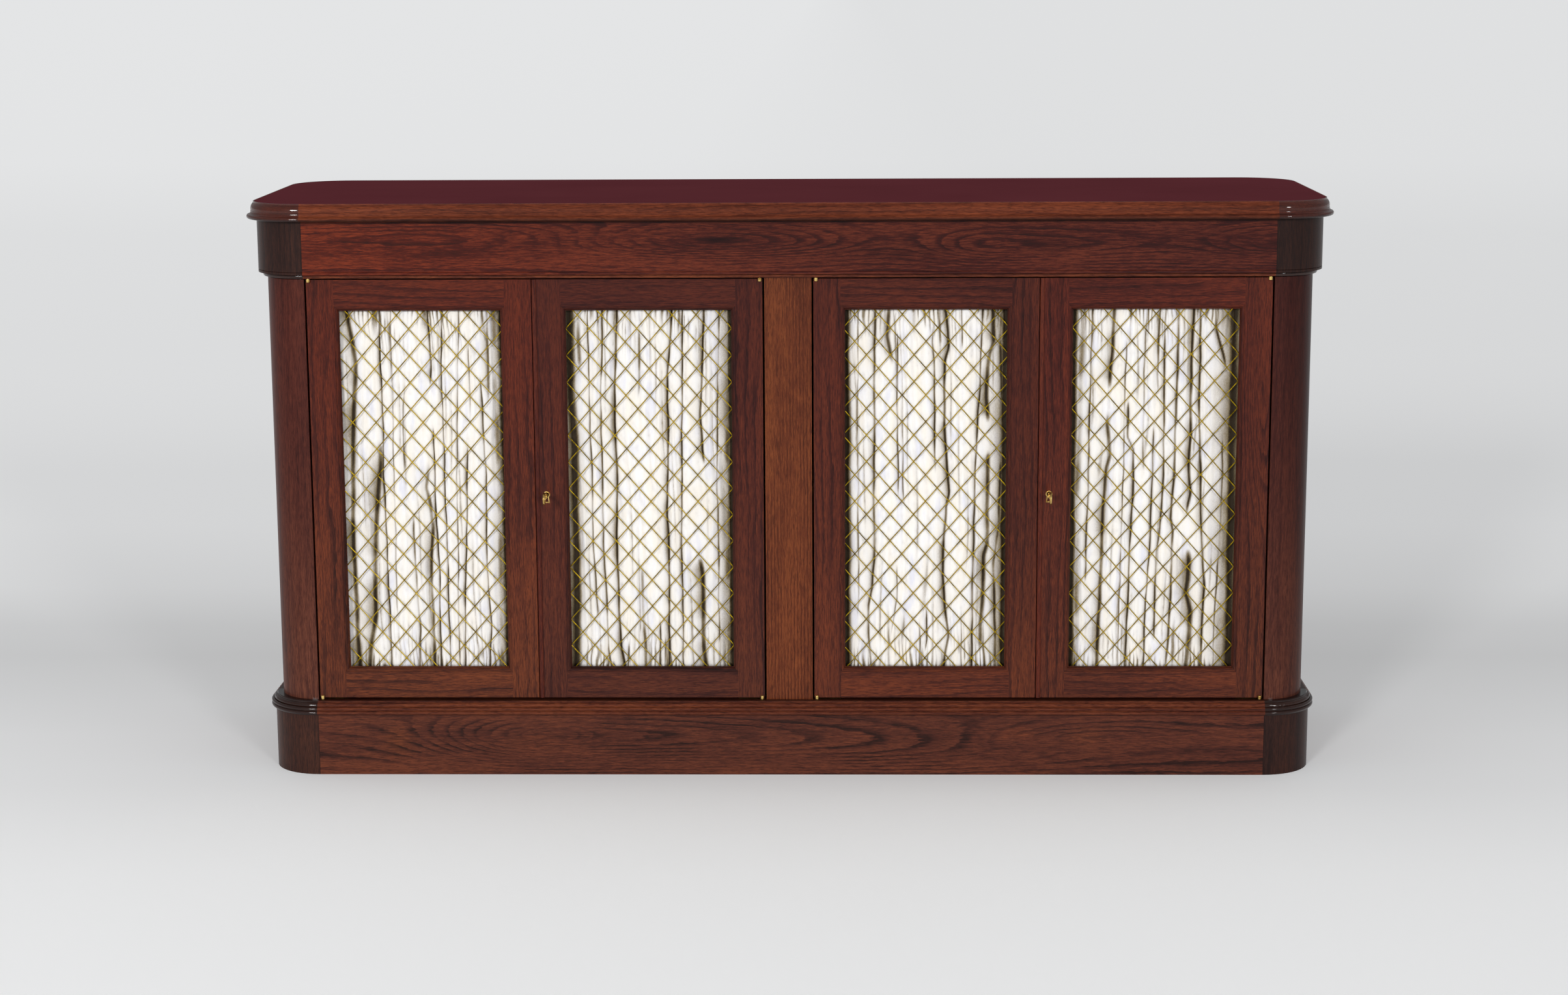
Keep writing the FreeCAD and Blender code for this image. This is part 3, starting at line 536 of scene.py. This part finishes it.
woodPieces = {
    "friezeWood": ["frieze_boards"],
    "plinthWood": ["plinth_boards"],
    "edgeWood": ["top_edge_straights", "top_edge_corners"],
    "mouldingWood": ["bed_moulding", "plinth_moulding"],
    "cornerWood": ["frieze_corner_blocks", "plinth_corner_blocks"],
    "columnWood": ["corner_columns"],
    "centreWood": ["centre_stile"],
    "sideWood": ["side_panels"],
    "beadWood": ["door_2_meeting_bead", "door_4_meeting_bead"],
    "insideWood": ["sub_top", "floor_board", "shelves", "plinth_bearer", "door_stops"],
    "backWood": ["back_panels", "back_stile", "centre_partition"],
}
for name, nodes in woodPieces.items():
    paint(nodes, makeWood(name, woodLooks[name]))

# each door is cut from its own plank: where the pattern starts, and its tone above and below
doorWood = {
    1: {"shift": 0.31, "high": (1.07, 0.93, 0.84, 1), "low": (1.32, 1.7, 1.3, 1)},
    2: {"shift": 0.83, "high": (0.72, 0.74, 0.84, 1), "low": (0.9, 1.18, 1.2, 1)},
    3: {"shift": 1.37, "high": (0.82, 0.83, 0.88, 1), "low": (1.22, 1.42, 1.18, 1), "darkStile": 0.365},
    4: {"shift": 1.91, "high": (1.06, 0.95, 0.92, 1), "low": (1.16, 1.4, 1.18, 1), "darkStile": 0.73,
        "figures": ({"at": (0.62, 0.735), "reach": (0.16, 0.022), "push": 5.0},)},
}
toneBands = (("high", 0.80, 0.30), ("low", 0.10, 0.32))  # their heights and how far they reach
endless = 9.0  # the reach of a patch that runs the whole length or width
# the moulding round an opening lies in shade, the right stiles of the right pair are darker
mouldedBand = {"out": 2.5 * mm, "reach": 3.5 * mm, "length": 0.5, "times": (0.62, 0.6, 0.6, 1)}
darkStile = {"height": 0.45, "reach": (0.6, 0.04), "times": (0.84, 0.9, 0.92, 1)}


def paintDoor(number, look):
    out, reach, shaded = mouldedBand["out"], mouldedBand["reach"], mouldedBand["times"]
    left, right = sightOpenings[number]
    middle = (sightFoot + sightHead) / 2
    upright = [{"at": (z, 0.0), "reach": (far, endless), "times": look[tone]} for tone, z, far in toneBands]
    upright += [{"at": (middle, x), "reach": (mouldedBand["length"], reach), "times": shaded}
                for x in (left - out, right + out)]
    if "darkStile" in look:
        upright.append({**darkStile, "at": (darkStile["height"], look["darkStile"])})
    level = [{"at": (0.0, z), "reach": (endless, far), "times": look[tone]} for tone, z, far in toneBands]
    level += [{"at": (0.0, z), "reach": (endless, reach), "times": shaded}
              for z in (sightFoot - out, sightHead + out)]
    plank = {**mahogany, "shift": look["shift"], "rings": 70.0}
    stile = {**plank, "grain": "up", "figures": look.get("figures", ()), "patches": upright}
    rail = {**plank, "patches": level, "lines": 0.35}
    paint([f"door_{number}_stiles"], makeWood(f"stileWood{number}", stile))
    paint([f"door_{number}_rails"], makeWood(f"railWood{number}", rail))


for number, look in doorWood.items():
    paintDoor(number, look)

topLook = {
    "dark": srgb(90, 38, 44),
    "light": srgb(97, 43, 49),
    "rates": (7.0, 240.0, 1.0),  # of its faint streaks, per metre
    "streaks": 0.4,
    "roughness": 0.6,
    "coat": 0.02,
    "coatRoughness": 0.15,
}


def makeTop(look):
    material, tree, shader = startMaterial("burgundyTop")
    place, apart = objectPlace(tree)
    streak = noise(tree, stretched(tree, apart, look["rates"]), 1.0, 3.0, 0.6)
    slow = calc(tree, "MULTIPLY", noise(tree, place, 5.0), 1 - look["streaks"])
    value = calc(tree, "MULTIPLY_ADD", streak, look["streaks"], slow)
    feed(tree, shader, {"Base Color": ramp(tree, value, ((0.3, look["dark"]), (0.7, look["light"]))),
                        "Roughness": calc(tree, "MULTIPLY_ADD", streak, 0.1, look["roughness"]),
                        "Specular IOR Level": 0.0,
                        "Coat Weight": look["coat"],
                        "Coat Roughness": look["coatRoughness"]})
    addBump(tree, shader, streak, 0.15, 0.1 * mm)
    return material


paint(["top_board"], makeTop(topLook))

brassLook = {"dark": srgb(150, 112, 52), "light": srgb(236, 204, 128), "roughness": 0.22}


def makeBrass(name, look):
    material, tree, shader = startMaterial(name)
    place = objectPlace(tree)[0]
    tarnish = noise(tree, place, 90.0, 4.0, 0.6)
    scratches = noise(tree, place, 900.0)
    feed(tree, shader, {"Base Color": ramp(tree, tarnish, ((0.32, look["dark"]), (0.6, look["light"]))),
                        "Metallic": 1.0,
                        "Roughness": calc(tree, "MULTIPLY_ADD", scratches, 0.2, look["roughness"])})
    return material


brassEnds = ("rods", "leaves", "plate", "slip_bolt", "escutcheon", "lock_case", "lock_bolt", "key")
brassNodes = [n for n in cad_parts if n.startswith("door_") and n.endswith(brassEnds)]
paint(["hinge_plates", "shelf_pins"] + brassNodes, makeBrass("brass", brassLook))
print("wood, top and brass painted")


# ---- woven wire grilles ----

grilleLook = {
    "pitchX": 37.0 * mm,
    "pitchZ": 42.2 * mm,
    "rise": 2.5 * mm,  # how far the lattice's middle lies above the opening's
    "lap": 5.5 * mm,  # how far the wire reaches behind the frame
    "depth": -215.1 * mm,
    "radius": 0.85 * mm,
    "sides": 7,
    "weave": 0.6 * mm,  # how far a wire bends out of the middle at a crossing
    "repeats": 18,  # of two crossings each, in one wire
    "wires": 34,
    "start": (-39, -16),  # a crossing well to the left of the frame and below it
    "pinRadius": 1.5 * mm,
    "pinDepth": 2.0 * mm,
    "pinDome": 0.45 * mm,
    "pinOut": 1.4 * mm,
    "pinRows": (13, -13),
    "pinColumns": range(-6, 7, 2),
    "smoothUnder": 50,  # degrees
}
# how a wire bends from one crossing to the next: share of the way, share of the bend
crimp = ((0.10, 1.0), (0.24, 0.45), (0.5, 0.0), (0.76, -0.45), (0.90, -1.0))
wireBrassLook = {"dark": srgb(84, 66, 4), "light": srgb(186, 156, 30), "roughness": 0.34}


def weaveWires(look):
    # one crimped stretch of wire, repeated to its length and then side by side
    halfX, halfZ = look["pitchX"] / 2, look["pitchZ"] / 2
    stretch = math.hypot(halfX, halfZ)
    clearSelection()
    bpy.ops.mesh.primitive_circle_add(vertices=look["sides"], radius=look["radius"],
                                      location=(0, look["weave"], 0), rotation=(0, math.pi / 2, 0))
    wire = takeNew("wires")
    bpy.ops.object.mode_set(mode="EDIT")
    marks = [*crimp, (1.0, -1.0), *((1 + at, -bend) for at, bend in crimp), (2.0, 1.0)]
    last = (0.0, 1.0)
    for at, bend in marks:
        move = ((at - last[0]) * stretch, (bend - last[1]) * look["weave"], 0)
        bpy.ops.mesh.extrude_region_move(TRANSFORM_OT_translate={"value": move})
        last = (at, bend)
    bpy.ops.object.mode_set(mode="OBJECT")
    applyPlace(wire)
    finishWith(wire, "ARRAY", count=look["repeats"], use_relative_offset=False, use_constant_offset=True,
               constant_offset_displace=(2 * stretch, 0, 0), use_merge_vertices=True,
               merge_threshold=0.1 * mm)
    bpy.ops.object.mode_set(mode="EDIT")
    bpy.ops.mesh.select_all(action="SELECT")
    bpy.ops.mesh.normals_make_consistent(inside=False)
    bpy.ops.transform.rotate(value=math.atan2(halfZ, halfX), orient_axis="Y", center_override=(0, 0, 0))
    bpy.ops.object.mode_set(mode="OBJECT")
    if max(v.co.z for v in wire.data.vertices) < stretch:  # it has to climb to the right
        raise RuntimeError("the wires were turned the wrong way")
    finishWith(wire, "ARRAY", count=look["wires"], use_relative_offset=False, use_constant_offset=True,
               constant_offset_displace=(look["pitchX"], 0, 0), use_merge_vertices=False)
    return wire


def trimTo(piece, left, right, foot, head):
    # cuts off what lies outside these limits and closes the cut ends
    for point, normal in (((left, 0, 0), (-1, 0, 0)), ((right, 0, 0), (1, 0, 0)),
                          ((0, 0, foot), (0, 0, -1)), ((0, 0, head), (0, 0, 1))):
        workOn(piece)
        bpy.ops.object.mode_set(mode="EDIT")
        bpy.ops.mesh.select_all(action="SELECT")
        bpy.ops.mesh.bisect(plane_co=point, plane_no=normal, use_fill=True, clear_outer=True)
        bpy.ops.object.mode_set(mode="OBJECT")


def makePin(look):
    # a small domed nail that holds the crossing wires at the head and foot
    clearSelection()
    bpy.ops.mesh.primitive_cylinder_add(vertices=10, radius=look["pinRadius"], depth=look["pinDepth"],
                                        rotation=(math.pi / 2, 0, 0))
    pin = takeNew("pin")
    applyPlace(pin)
    bpy.ops.object.mode_set(mode="EDIT")
    pickFaces(pin, lambda middle: middle.y < -0.45 * look["pinDepth"])
    bpy.ops.mesh.inset(thickness=look["pinDome"])
    bpy.ops.transform.translate(value=(0, -look["pinDome"], 0))
    bpy.ops.object.mode_set(mode="OBJECT")
    return pin


def makeGrille(number, look, wires, pin, material):
    left, right = sightOpenings[number]
    lap = look["lap"]
    centreX, centreZ = (left + right) / 2, (sightFoot + sightHead) / 2 + look["rise"]
    halfX, halfZ = look["pitchX"] / 2, look["pitchZ"] / 2
    startColumn, startRow = look["start"]
    parts = []
    for name, turn, way in (("rising", 0, 1), ("falling", math.pi, -1)):
        strands = copyOf(wires, name)
        strands.rotation_euler = (0, 0, turn)
        strands.location = (centreX + way * startColumn * halfX, look["depth"], centreZ + startRow * halfZ)
        applyPlace(strands)
        trimTo(strands, left - lap, right + lap, sightFoot - lap, sightHead + lap)
        parts.append(strands)
    for row in look["pinRows"]:
        for column in look["pinColumns"]:
            one = copyOf(pin, "onePin")
            one.location = (centreX + column * halfX, look["depth"] - look["pinOut"], centreZ + row * halfZ)
            applyPlace(one)
            parts.append(one)
    grille = joinAll(parts, f"wovenGrille{number}")
    bpy.ops.object.shade_smooth_by_angle(angle=math.radians(look["smoothUnder"]))
    grille.data.materials.clear()
    grille.data.materials.append(material)
    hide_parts(f"door_{number}_grille")
    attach(grille, f"door_{number}")


wireBrass = makeBrass("wireBrass", wireBrassLook)
wires = weaveWires(grilleLook)
pin = makePin(grilleLook)
for number in sightOpenings:
    makeGrille(number, grilleLook, wires, pin, wireBrass)
for spare in (wires, pin):
    bpy.data.objects.remove(spare)
print("grilles woven")


# ---- gathered silk ----

silkLook = {
    "front": -213.4 * mm,
    "back": -205.0 * mm,
    "foot": 170.6 * mm,
    "head": 744.6 * mm,
    "sideLap": 2.0 * mm,
    "columns": 330,
    "rows": 120,
    "thickness": 0.35 * mm,
    "hem": 4 * mm,  # the side hems stay where they are
    "flat": (0.34, 0.6),
    "seed": 40,
    "pleats": 21,
    "puckers": 34,
    "gatherReach": 45 * mm,  # how far the small puckers run from each rod
    "lie": 0.35,  # how far to the front the cloth lies before it is folded
    "depths": (0.34, 0.4, 0.12),  # of pleats, puckers and crumples, as shares of the way to the front
    "shades": (0.29, 0.60, 0.10),  # how dark the shade painted into each of them gets
}
# the creases of each curtain, drawn one by one: half width, depth, then height and place of their points in
# mm
creases = {
    1: ((5.0, 1.0, (172, -687), (360, -691), (520, -687), (660, -678), (742, -690)),
        (5.5, 0.9, (172, -670), (205, -668), (250, -660), (320, -657), (400, -654), (450, -650), (490, -644),
         (540, -642)),
        (1.5, 0.9, (172, -636), (260, -636), (400, -638), (560, -638), (742, -639)),
        (1.1, 0.4, (240, -624), (420, -623), (742, -621)),
        (1.4, 0.5, (480, -606), (592, -605), (640, -600)),
        (2.0, 1.0, (620, -561), (660, -560), (742, -563)),
        (4.0, 0.7, (172, -566), (250, -567), (300, -569), (350, -567), (400, -563), (430, -566), (460, -573),
         (505, -566)),
        (1.2, 1.0, (172, -556), (330, -555), (440, -558), (560, -559)),
        (1.2, 0.8, (172, -541), (400, -542), (560, -543), (660, -543), (742, -541)),
        (1.2, 0.5, (172, -527), (540, -522), (600, -519), (742, -514)),
        (1.4, 0.9, (172, -518), (250, -516), (300, -514), (350, -512), (440, -508), (480, -507), (530, -505)),
        (1.2, 0.4, (560, -500), (700, -500)),
        (1.5, 0.7, (172, -478), (240, -475), (300, -478), (400, -479), (480, -477), (560, -480), (640, -483)),
        (3.0, 0.5, (600, -471), (742, -470)),
        (6.0, 0.4, (172, -459), (420, -457), (742, -460)),
        (3.0, 1.0, (172, -448), (742, -448)),
        (2.2, 0.5, (172, -590), (230, -588), (300, -592), (420, -594))),
    2: ((5.0, 1.0, (172, -341), (290, -337), (400, -338), (520, -337), (600, -341), (742, -342)),
        (4.0, 0.4, (640, -326), (742, -327)),
        (1.5, 0.6, (240, -304), (300, -307), (400, -310), (480, -310), (600, -312), (690, -313), (742, -312)),
        (2.0, 0.6, (172, -284), (200, -288), (280, -290), (330, -293), (480, -294), (620, -294), (690, -291),
         (742, -289)),
        (2.4, 1.0, (172, -263), (200, -268), (320, -272), (380, -273), (450, -270), (560, -273), (680, -270),
         (742, -267)),
        (4.0, 0.5, (690, -247), (742, -246)),
        (2.6, 0.6, (600, -234), (690, -233), (720, -233)),
        (3.6, 0.5, (172, -229), (260, -232), (340, -233)),
        (2.2, 1.0, (172, -192), (300, -190), (430, -192), (500, -190), (640, -189), (700, -184), (742, -182)),
        (1.6, 0.8, (172, -169), (400, -170), (500, -168), (660, -166), (742, -164)),
        (2.5, 0.9, (495, -133), (520, -136), (580, -138), (620, -136), (690, -134), (742, -131)),
        (1.2, 0.3, (360, -128), (440, -127)),
        (5.0, 1.0, (172, -134), (230, -137), (290, -137), (320, -138), (350, -142)),
        (1.5, 0.6, (200, -112), (330, -112), (480, -113), (600, -112), (660, -109), (742, -108)),
        (7.0, 0.5, (172, -97), (640, -96)),
        (4.5, 1.0, (172, -89), (742, -89)),
        (1.6, 0.7, (172, -206), (250, -205)),
        (1.6, 0.7, (172, -257), (215, -255)),
        (1.5, 0.6, (172, -198), (230, -197))),
    3: ((4.5, 1.0, (172, 91), (540, 91), (742, 89)),
        (1.3, 0.5, (240, 108), (330, 110), (430, 109), (560, 108), (742, 109)),
        (4.0, 0.6, (650, 164), (680, 158), (700, 154), (742, 156)),
        (2.5, 0.7, (172, 129), (220, 125), (270, 126), (300, 131), (340, 134), (560, 134), (742, 135)),
        (1.5, 0.6, (440, 172), (520, 171), (620, 170), (710, 170)),
        (1.2, 0.5, (430, 181), (480, 179), (600, 178)),
        (1.2, 0.6, (215, 159), (250, 166), (280, 171), (340, 170)),
        (4.0, 0.4, (690, 196), (742, 196)),
        (1.8, 0.8, (480, 230), (560, 229), (660, 227), (690, 225), (720, 227)),
        (2.6, 1.0, (172, 246), (190, 247), (220, 252), (240, 249), (280, 245), (320, 243), (380, 244),
         (430, 247), (450, 252), (470, 250), (520, 247), (560, 244), (600, 243), (660, 244), (680, 250),
         (710, 249), (742, 245)),
        (1.4, 0.8, (675, 271), (742, 270)),
        (1.8, 0.8, (172, 289), (300, 290), (400, 291), (480, 293), (560, 295), (620, 299), (680, 301),
         (742, 302)),
        (4.5, 1.0, (560, 312), (600, 309), (650, 311), (670, 314), (690, 320), (742, 318)),
        (4.5, 0.9, (190, 301), (240, 303), (280, 306), (320, 307), (350, 306), (370, 312), (420, 312),
         (520, 313)),
        (3.0, 0.8, (172, 326), (340, 323), (400, 329), (440, 330), (560, 334), (640, 331), (742, 330)),
        (4.0, 1.0, (172, 338), (742, 338)),
        (3.0, 0.5, (200, 177), (230, 180), (270, 182)),
        (1.4, 0.7, (185, 213), (215, 218), (270, 217)),
        (1.2, 0.8, (172, 206), (250, 207)),
        (1.4, 0.5, (172, 273), (270, 273))),
    4: ((4.0, 1.0, (172, 445), (742, 444)),
        (6.0, 0.4, (172, 456), (450, 453), (742, 459)),
        (1.8, 0.7, (300, 468), (400, 469), (560, 471), (640, 471), (742, 474)),
        (4.0, 0.8, (612, 501), (640, 502), (680, 504), (742, 507)),
        (4.0, 0.9, (172, 487), (200, 488), (280, 491), (360, 492), (440, 495), (490, 498), (510, 503),
         (560, 498), (580, 500)),
        (2.0, 0.9, (172, 533), (280, 535), (360, 537), (440, 540), (520, 540), (540, 531), (600, 531)),
        (1.4, 0.5, (172, 521), (340, 522), (400, 524), (560, 525), (700, 526)),
        (2.0, 0.4, (480, 556), (640, 554), (690, 556), (742, 558)),
        (1.6, 0.8, (172, 561), (260, 563), (340, 567), (480, 571), (560, 570)),
        (2.5, 0.6, (600, 577), (640, 575), (742, 578)),
        (2.0, 0.7, (210, 577), (300, 578), (360, 580), (420, 585), (480, 588), (600, 586), (742, 586)),
        (2.5, 0.7, (172, 597), (280, 603), (390, 603), (410, 600), (480, 605), (560, 604), (640, 607),
         (742, 606)),
        (3.0, 1.0, (410, 624), (430, 626), (450, 630), (500, 627), (540, 629), (600, 627), (742, 630)),
        (5.5, 1.0, (172, 628), (210, 633), (260, 635), (290, 626), (310, 629), (340, 630), (365, 627)),
        (2.4, 0.9, (172, 652), (240, 654), (300, 655), (370, 650), (420, 648), (560, 642), (742, 640)),
        (2.5, 0.8, (640, 683), (670, 676), (690, 670), (710, 665), (742, 663)),
        (1.6, 0.6, (172, 672), (280, 673), (330, 675), (400, 679), (560, 678)),
        (5.5, 1.0, (172, 696), (450, 694), (742, 693))),
}
creaseLook = {
    "nearFrame": 9 * mm,  # creases this near to the frame are wider and change less on their way up
    "widening": 1.6,
    "change": 0.3,
    "changeNearFrame": 0.12,
    "fullest": 1.08,
    "fade": 22 * mm,  # how an end inside the curtain dies away
    "inside": (180 * mm, 735 * mm),  # heights between which an end does so
    "sway": 0.5 * mm,
    "swayLength": 180 * mm,
    "changeLength": 190 * mm,
    "press": (1.25, 0.55),  # how far the crease and the slopes beside it go back
    "slopes": 2.6,  # how wide they are, in half widths
    "steepSlope": 1.1,
    "pull": 0.5,  # how much cloth is drawn into the crease
    "dark": (1.15, 0.55, 0.04),  # how dark the painted shade gets in the crease, on its soft side, and on the slopes
}


def slowWave(random, places, count, longest):
    # a smooth random curve, the sum of a few sines
    total = np.zeros_like(places)
    for step in range(1, count + 1):
        total += np.sin(places * step / longest * 2 * np.pi + random.uniform(0, 2 * np.pi)) / step
    return total


def pressCrease(random, x, z, crease, sides, look):
    # how strongly each point is drawn into the crease, and how far off it lies in half widths
    half, deep, *points = crease
    heights = [point[0] * mm for point in points]
    places = [point[1] * mm for point in points]
    middle = sum(places) / len(places)
    nearFrame = min(abs(middle - side) for side in sides) < look["nearFrame"]
    half = half * (look["widening"] if nearFrame else 1.0)
    line = np.interp(z, heights, places) + look["sway"] * slowWave(random, z, 4, look["swayLength"])
    lowEnd, highEnd = look["inside"]
    lowFade = np.clip((z - heights[0]) / look["fade"], 0, 1) if heights[0] > lowEnd else 1.0
    highFade = np.clip((heights[-1] - z) / look["fade"], 0, 1) if heights[-1] < highEnd else 1.0
    change = look["changeNearFrame" if nearFrame else "change"]
    wave = np.clip(slowWave(random, z, 5, look["changeLength"]), -1, 1)
    life = look["fullest"] - change + change * wave
    return deep * lowFade * highFade * life, (x - line) / (half * mm)


def foldCloth(random, look, u, v, gather):
    # narrow pleats that wander a little on their way up, and short puckers beside the rods
    wander = 0.010 * slowWave(random, v, 4, 1.6) + 0.006 * slowWave(random, v + u * 2.3, 3, 0.7)
    phase = (u + wander) * look["pleats"] * 2 * np.pi + 1.6 * slowWave(random, u, 5, 0.45)
    pleat = np.cos(phase) * np.clip(0.55 + 0.3 * slowWave(random, u * 1.7 + v * 0.5, 3, 0.5), 0.15, 1)
    lean = 0.004 * slowWave(random, v * 3 + u, 3, 0.5)
    phase = (u + lean) * look["puckers"] * 2 * np.pi + 1.8 * slowWave(random, u, 6, 0.3)
    pucker = np.cos(phase) * gather * np.clip(0.6 + 0.5 * slowWave(random, u + v * 2, 3, 0.4), 0, 1)
    crumple = 0.5 * slowWave(random, u * 5.0 + v * 6.5, 4, 0.6) * slowWave(random, v * 7.0 - u * 3.1, 4, 0.8)
    pleatDepth, puckerDepth, crumpleDepth = look["depths"]
    pleatShade, puckerShade, crumpleShade = look["shades"]
    depth = look["lie"] + pleatDepth * pleat + puckerDepth * pucker + crumpleDepth * crumple
    # shade painted into the hollows of the pleats, puckers and crumples
    shade = (pleatShade * np.clip(-pleat, 0, 1) ** 2 + puckerShade * np.clip(-pucker, 0, 1)
             + crumpleShade * np.clip(-crumple, 0, 1))
    return depth, shade


def creaseCloth(random, look, folds, x, z, sides, depth, shade):
    # the creases press the cloth back, draw it in from both sides and paint shade into it
    slide = np.zeros_like(x)
    back, slopesBack = look["press"]
    dark, softDark, slopesDark = look["dark"]
    for fold in folds:
        force, away = pressCrease(random, x, z, fold, sides, look)
        core, skirt = np.exp(-away * away), np.exp(-np.abs(away) / look["slopes"])
        depth = depth - force * (back * core + slopesBack * skirt)
        slide = slide - look["pull"] * fold[0] * mm * force * away * np.exp(-away * away * 0.5)
        # the painted shadow on the soft side of a fold falls to the left
        shadow = np.where(away < 0, skirt, np.exp(-np.abs(away) / look["steepSlope"]))
        pressed = dark * force * np.maximum(core, softDark * shadow)
        shade = np.maximum(shade, pressed) + slopesDark * force * skirt
    return depth, shade, slide


def makeSilk(number, look, folds, material):
    random = np.random.default_rng(look["seed"] + number)
    left, right = sightOpenings[number]
    left, right = left - look["sideLap"], right + look["sideLap"]
    width, height = right - left, look["head"] - look["foot"]
    clearSelection()
    bpy.ops.mesh.primitive_grid_add(x_subdivisions=look["columns"], y_subdivisions=look["rows"], size=1.0,
                                    rotation=(math.pi / 2, 0, 0))
    silk = takeNew(f"gatheredSilk{number}")
    applyPlace(silk)
    places = np.empty(len(silk.data.vertices) * 3)
    silk.data.vertices.foreach_get("co", places)
    places = places.reshape(-1, 3)
    u, v = places[:, 0] + 0.5, places[:, 2] + 0.5
    x, z = left + u * width, look["foot"] + v * height
    gather = np.exp(-np.minimum(z - look["foot"], look["head"] - z) / look["gatherReach"])
    depth, shade = foldCloth(random, look, u, v, gather)
    depth, shade, slide = creaseCloth(random, creaseLook, folds, x, z, (left, right), depth, shade)
    middle, reach = (look["front"] + look["back"]) / 2, (look["back"] - look["front"]) / 2
    y = middle - reach * np.tanh(depth)
    x = x + slide * np.clip(np.minimum(u, 1 - u) * width / look["hem"], 0, 1)
    silk.data.vertices.foreach_set("co", np.stack([x, y, z], 1).ravel())
    silk.data.update()
    # the painted shade of the folds, kept on each point for the silk's colour
    mark = silk.data.attributes.new("foldShade", "FLOAT", "POINT")
    mark.data.foreach_set("value", np.clip(shade, 0, 1).astype(np.float32))
    finishWith(silk, "SOLIDIFY", thickness=look["thickness"], offset=0)
    workOn(silk)
    bpy.ops.object.shade_smooth()
    silk.data.materials.append(material)
    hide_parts(f"door_{number}_silk")
    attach(silk, f"door_{number}")


clothLook = {
    # the silk's cream and white, and a bluish grey painted shade
    "ground": ((0.35, srgb(253, 247, 237)), (0.55, srgb(254, 252, 250)), (0.7, srgb(236, 236, 246))),
    "groundRates": (4.0, 1.0, 1.0),
    "slub": srgb(206, 200, 190),
    "slubShare": 0.11,
    "slubRates": (90.0, 1.0, 700.0),
    # colours of the painted shade in the folds, and how much of it shows
    "deep": ((0.12, srgb(212, 207, 204)), (0.45, srgb(128, 112, 82)), (0.85, srgb(46, 34, 16))),
    "deepShare": ((0.0, 0.0), (0.3, 0.85), (0.6, 1.0)),
    "roughness": 0.6,
    "specular": 0.2,
    "sheen": 0.1,
    "threads": 9000.0,  # a turn of the weave's waves takes 0.7 mm
}


def makeSilkCloth(look):
    material, tree, shader = startMaterial("ivorySilk")
    place, apart = objectPlace(tree)
    slub = noise(tree, stretched(tree, apart, look["slubRates"]), 1.0, 3.0)
    creamAndShade = noise(tree, stretched(tree, apart, look["groundRates"]), 16.0, 3.0)
    shadeSpeckle = noise(tree, place, 900.0, 2.0, 0.7)
    colour = ramp(tree, creamAndShade, look["ground"])
    colour = blendColours(tree, calc(tree, "MULTIPLY", slub, look["slubShare"]), colour, look["slub"])
    # the painted shade of the folds, speckled, over the silk's colour
    fold = addNode(tree, "Attribute", attribute_name="foldShade").outputs["Fac"]
    speckled = calc(tree, "MULTIPLY", fold, calc(tree, "MULTIPLY_ADD", shadeSpeckle, 0.9, 0.55), clamp=True)
    deep = ramp(tree, speckled, look["deep"])
    colour = blendColours(tree, ramp(tree, speckled, look["deepShare"]), colour, deep)
    feed(tree, shader, {"Base Color": colour, "Roughness": look["roughness"],
                        "Specular IOR Level": look["specular"], "Sheen Weight": look["sheen"]})
    warp, weft = (calc(tree, "SINE", calc(tree, "MULTIPLY", apart[c], look["threads"])) for c in "XZ")
    height = calc(tree, "MULTIPLY_ADD", calc(tree, "MULTIPLY", warp, weft), 0.4, slub)
    addBump(tree, shader, height, 0.3, 0.15 * mm)
    return material


silkCloth = makeSilkCloth(clothLook)
for number, folds in creases.items():
    makeSilk(number, silkLook, folds, silkCloth)
print("silk gathered")


# ---- last steps ----

bpy.context.scene.view_settings.view_transform = "Standard"
clearSelection()
